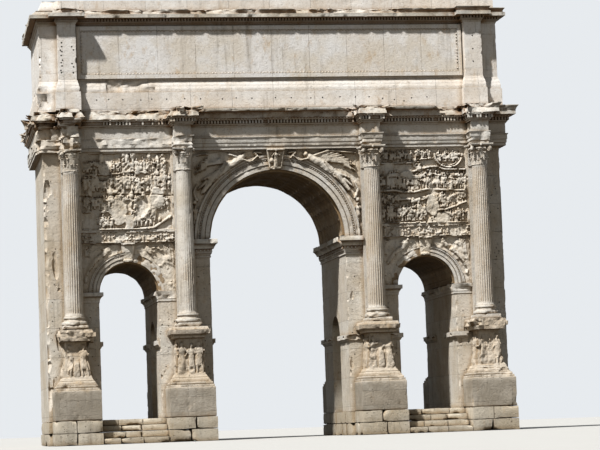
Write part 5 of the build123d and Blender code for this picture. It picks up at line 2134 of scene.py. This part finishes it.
def chip_string_courses():
    """String courses with broken edges, nearly gone on the left of the front."""
    heap = Heap()
    level = (bottom("string_courses") + top("string_courses")) / 2
    for side, mirror in product((-1, 1), (-1, 1)):
        count, size = (70, 0.45) if side < 0 and mirror < 0 else (30, 0.32)
        y = side * (half_depth + 0.15)
        start, end = (mirror * (central_edge - 0.1), y, level), (mirror * (half_length + 0.1), y, level)
        add_chips(heap, start, end, (0.0, side, 0.0), count, size, 691 + side + 3 * mirror)
    edges = ((central_edge, -1), (side_inner_edge, 1), (side_outer_edge, -1))
    for mirror, (edge, out) in product((-1, 1), edges):
        x = mirror * (edge + 0.15 * out)
        start, end = (x, -half_depth, level), (x, half_depth, level)
        add_chips(heap, start, end, (mirror * out, 0.0, 0.0), 14, 0.22, 701 + mirror + 5 * out)
    cut_away(copy_node("broken_string_courses", "string_courses", "moulding"), heap)


def make_panel_eggs():
    """Egg mouldings inside the frames of the two bare inscription panels."""
    heap = Heap()
    low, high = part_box("inscription_panels")
    inset, pitch = 0.23, 0.16
    edge_x, low_z, high_z = high.x - inset, low.z + inset, high.z - inset
    spots = [(x, z) for z in (low_z, high_z) for x in np.arange(-edge_x, edge_x, pitch)]
    spots += [(x, z) for x in (-edge_x, edge_x) for z in np.arange(low_z + pitch, high_z - 0.1, pitch)]
    for side, (x, z) in product((-1, 1), spots):
        if lattice(np.array([round(x * 10), round(z * 10), side]), 683) > 0.12:
            heap.add(*ball_shape((x, side * (high.y - 0.05), z), (0.05, 0.05, 0.055), 3, 5))
    heap.piece("panel_eggs", panel_marble, "panel", angle=60)


make_coffers("coffers_wide", 0.0, central_springing, central_edge, (13, 8), 0.085, 661)
for name, mirror in SIDES.items():
    place = (mirror * side_axis, side_springing, narrow_radius)
    make_coffers(f"coffers_narrow_{name}", *place, (7, 9), 0.05, 667 + mirror)
chip_piers()
chip_attic()
chip_string_courses()
make_panel_eggs()


# Camera, light and floor


def make_camera():
    """The photograph's viewpoint: far off, left of the middle and close to the ground."""
    eye = Vector((-18.054, -116.111, 0.6))
    yaw, pitch, roll = radians(9.688), radians(5.015), radians(-2.08)
    forward = Vector((sin(yaw) * cos(pitch), cos(yaw) * cos(pitch), sin(pitch)))
    level_right = Vector((cos(yaw), -sin(yaw), 0))
    level_up = level_right.cross(forward)
    right = cos(roll) * level_right + sin(roll) * level_up
    up = cos(roll) * level_up - sin(roll) * level_right
    camera = bpy.data.objects.new("camera", bpy.data.cameras.new("camera"))
    camera.matrix_world = Matrix.Translation(eye) @ Matrix((right, up, -forward)).transposed().to_4x4()
    camera.data.sensor_width = 36
    camera.data.lens = 136.76
    camera.data.clip_end = 2000
    bpy.context.scene.collection.objects.link(camera)
    bpy.context.scene.camera = camera


def make_light():
    """A soft sun from the upper left and a pale sky."""
    sun = bpy.data.objects.new("sun", bpy.data.lights.new("sun", "SUN"))
    sun.data.energy = 6.35
    sun.data.angle = radians(2.5)
    sun.data.color = (1.0, 0.985, 0.965)
    sun.rotation_mode = "QUATERNION"
    sun.rotation_quaternion = Vector((0.43, 0.36, -0.83)).to_track_quat("-Z", "Y")
    bpy.context.scene.collection.objects.link(sun)
    world = bpy.data.worlds.new("sky")
    bpy.context.scene.world = world
    graph = Graph(world)
    sky = graph.fill(graph.tree.nodes["Background"], {"Color": (0.80, 0.89, 1.0, 1.0), "Strength": 0.15})
    backdrop = graph.node("Background", {"Color": (0.80, 0.83, 0.86, 1.0), "Strength": 1.0})
    rays = graph.node("LightPath", {}).outputs
    seen = graph.math("MAXIMUM", rays["Is Camera Ray"], rays["Is Glossy Ray"])
    choice = graph.node("MixShader", {0: seen, 1: sky.outputs[0], 2: backdrop.outputs[0]})
    graph.fill(graph.tree.nodes["World Output"], {"Surface": choice.outputs[0]})


def make_floor():
    """A plain pale floor that runs out of sight."""
    half = 400
    mesh = bpy.data.meshes.new("floor")
    corners = [(-half, -half, 0), (half, -half, 0), (half, half, 0), (-half, half, 0)]
    mesh.from_pydata(corners, [], [(0, 1, 2, 3)])
    material = bpy.data.materials.new("floor")
    graph = Graph(material)
    shade_noise = graph.noise(graph.node("TexCoord", {}).outputs["Object"], 0.6, 3.0)
    seen = graph.node("LightPath", {}).outputs["Is Camera Ray"]
    pale = graph.mix(shade_noise, tone(176, 175, 171), tone(183, 182, 178))
    colour = graph.mix(seen, tone(97, 93, 86), pale)
    graph.fill(graph.tree.nodes["Principled BSDF"], {"Base Color": colour, "Roughness": 0.95})
    mesh.materials.append(material)
    floor = bpy.data.objects.new("floor", mesh)
    bpy.context.scene.collection.objects.link(floor)


make_camera()
make_light()
make_floor()
bpy.context.scene.view_settings.view_transform = "Standard"
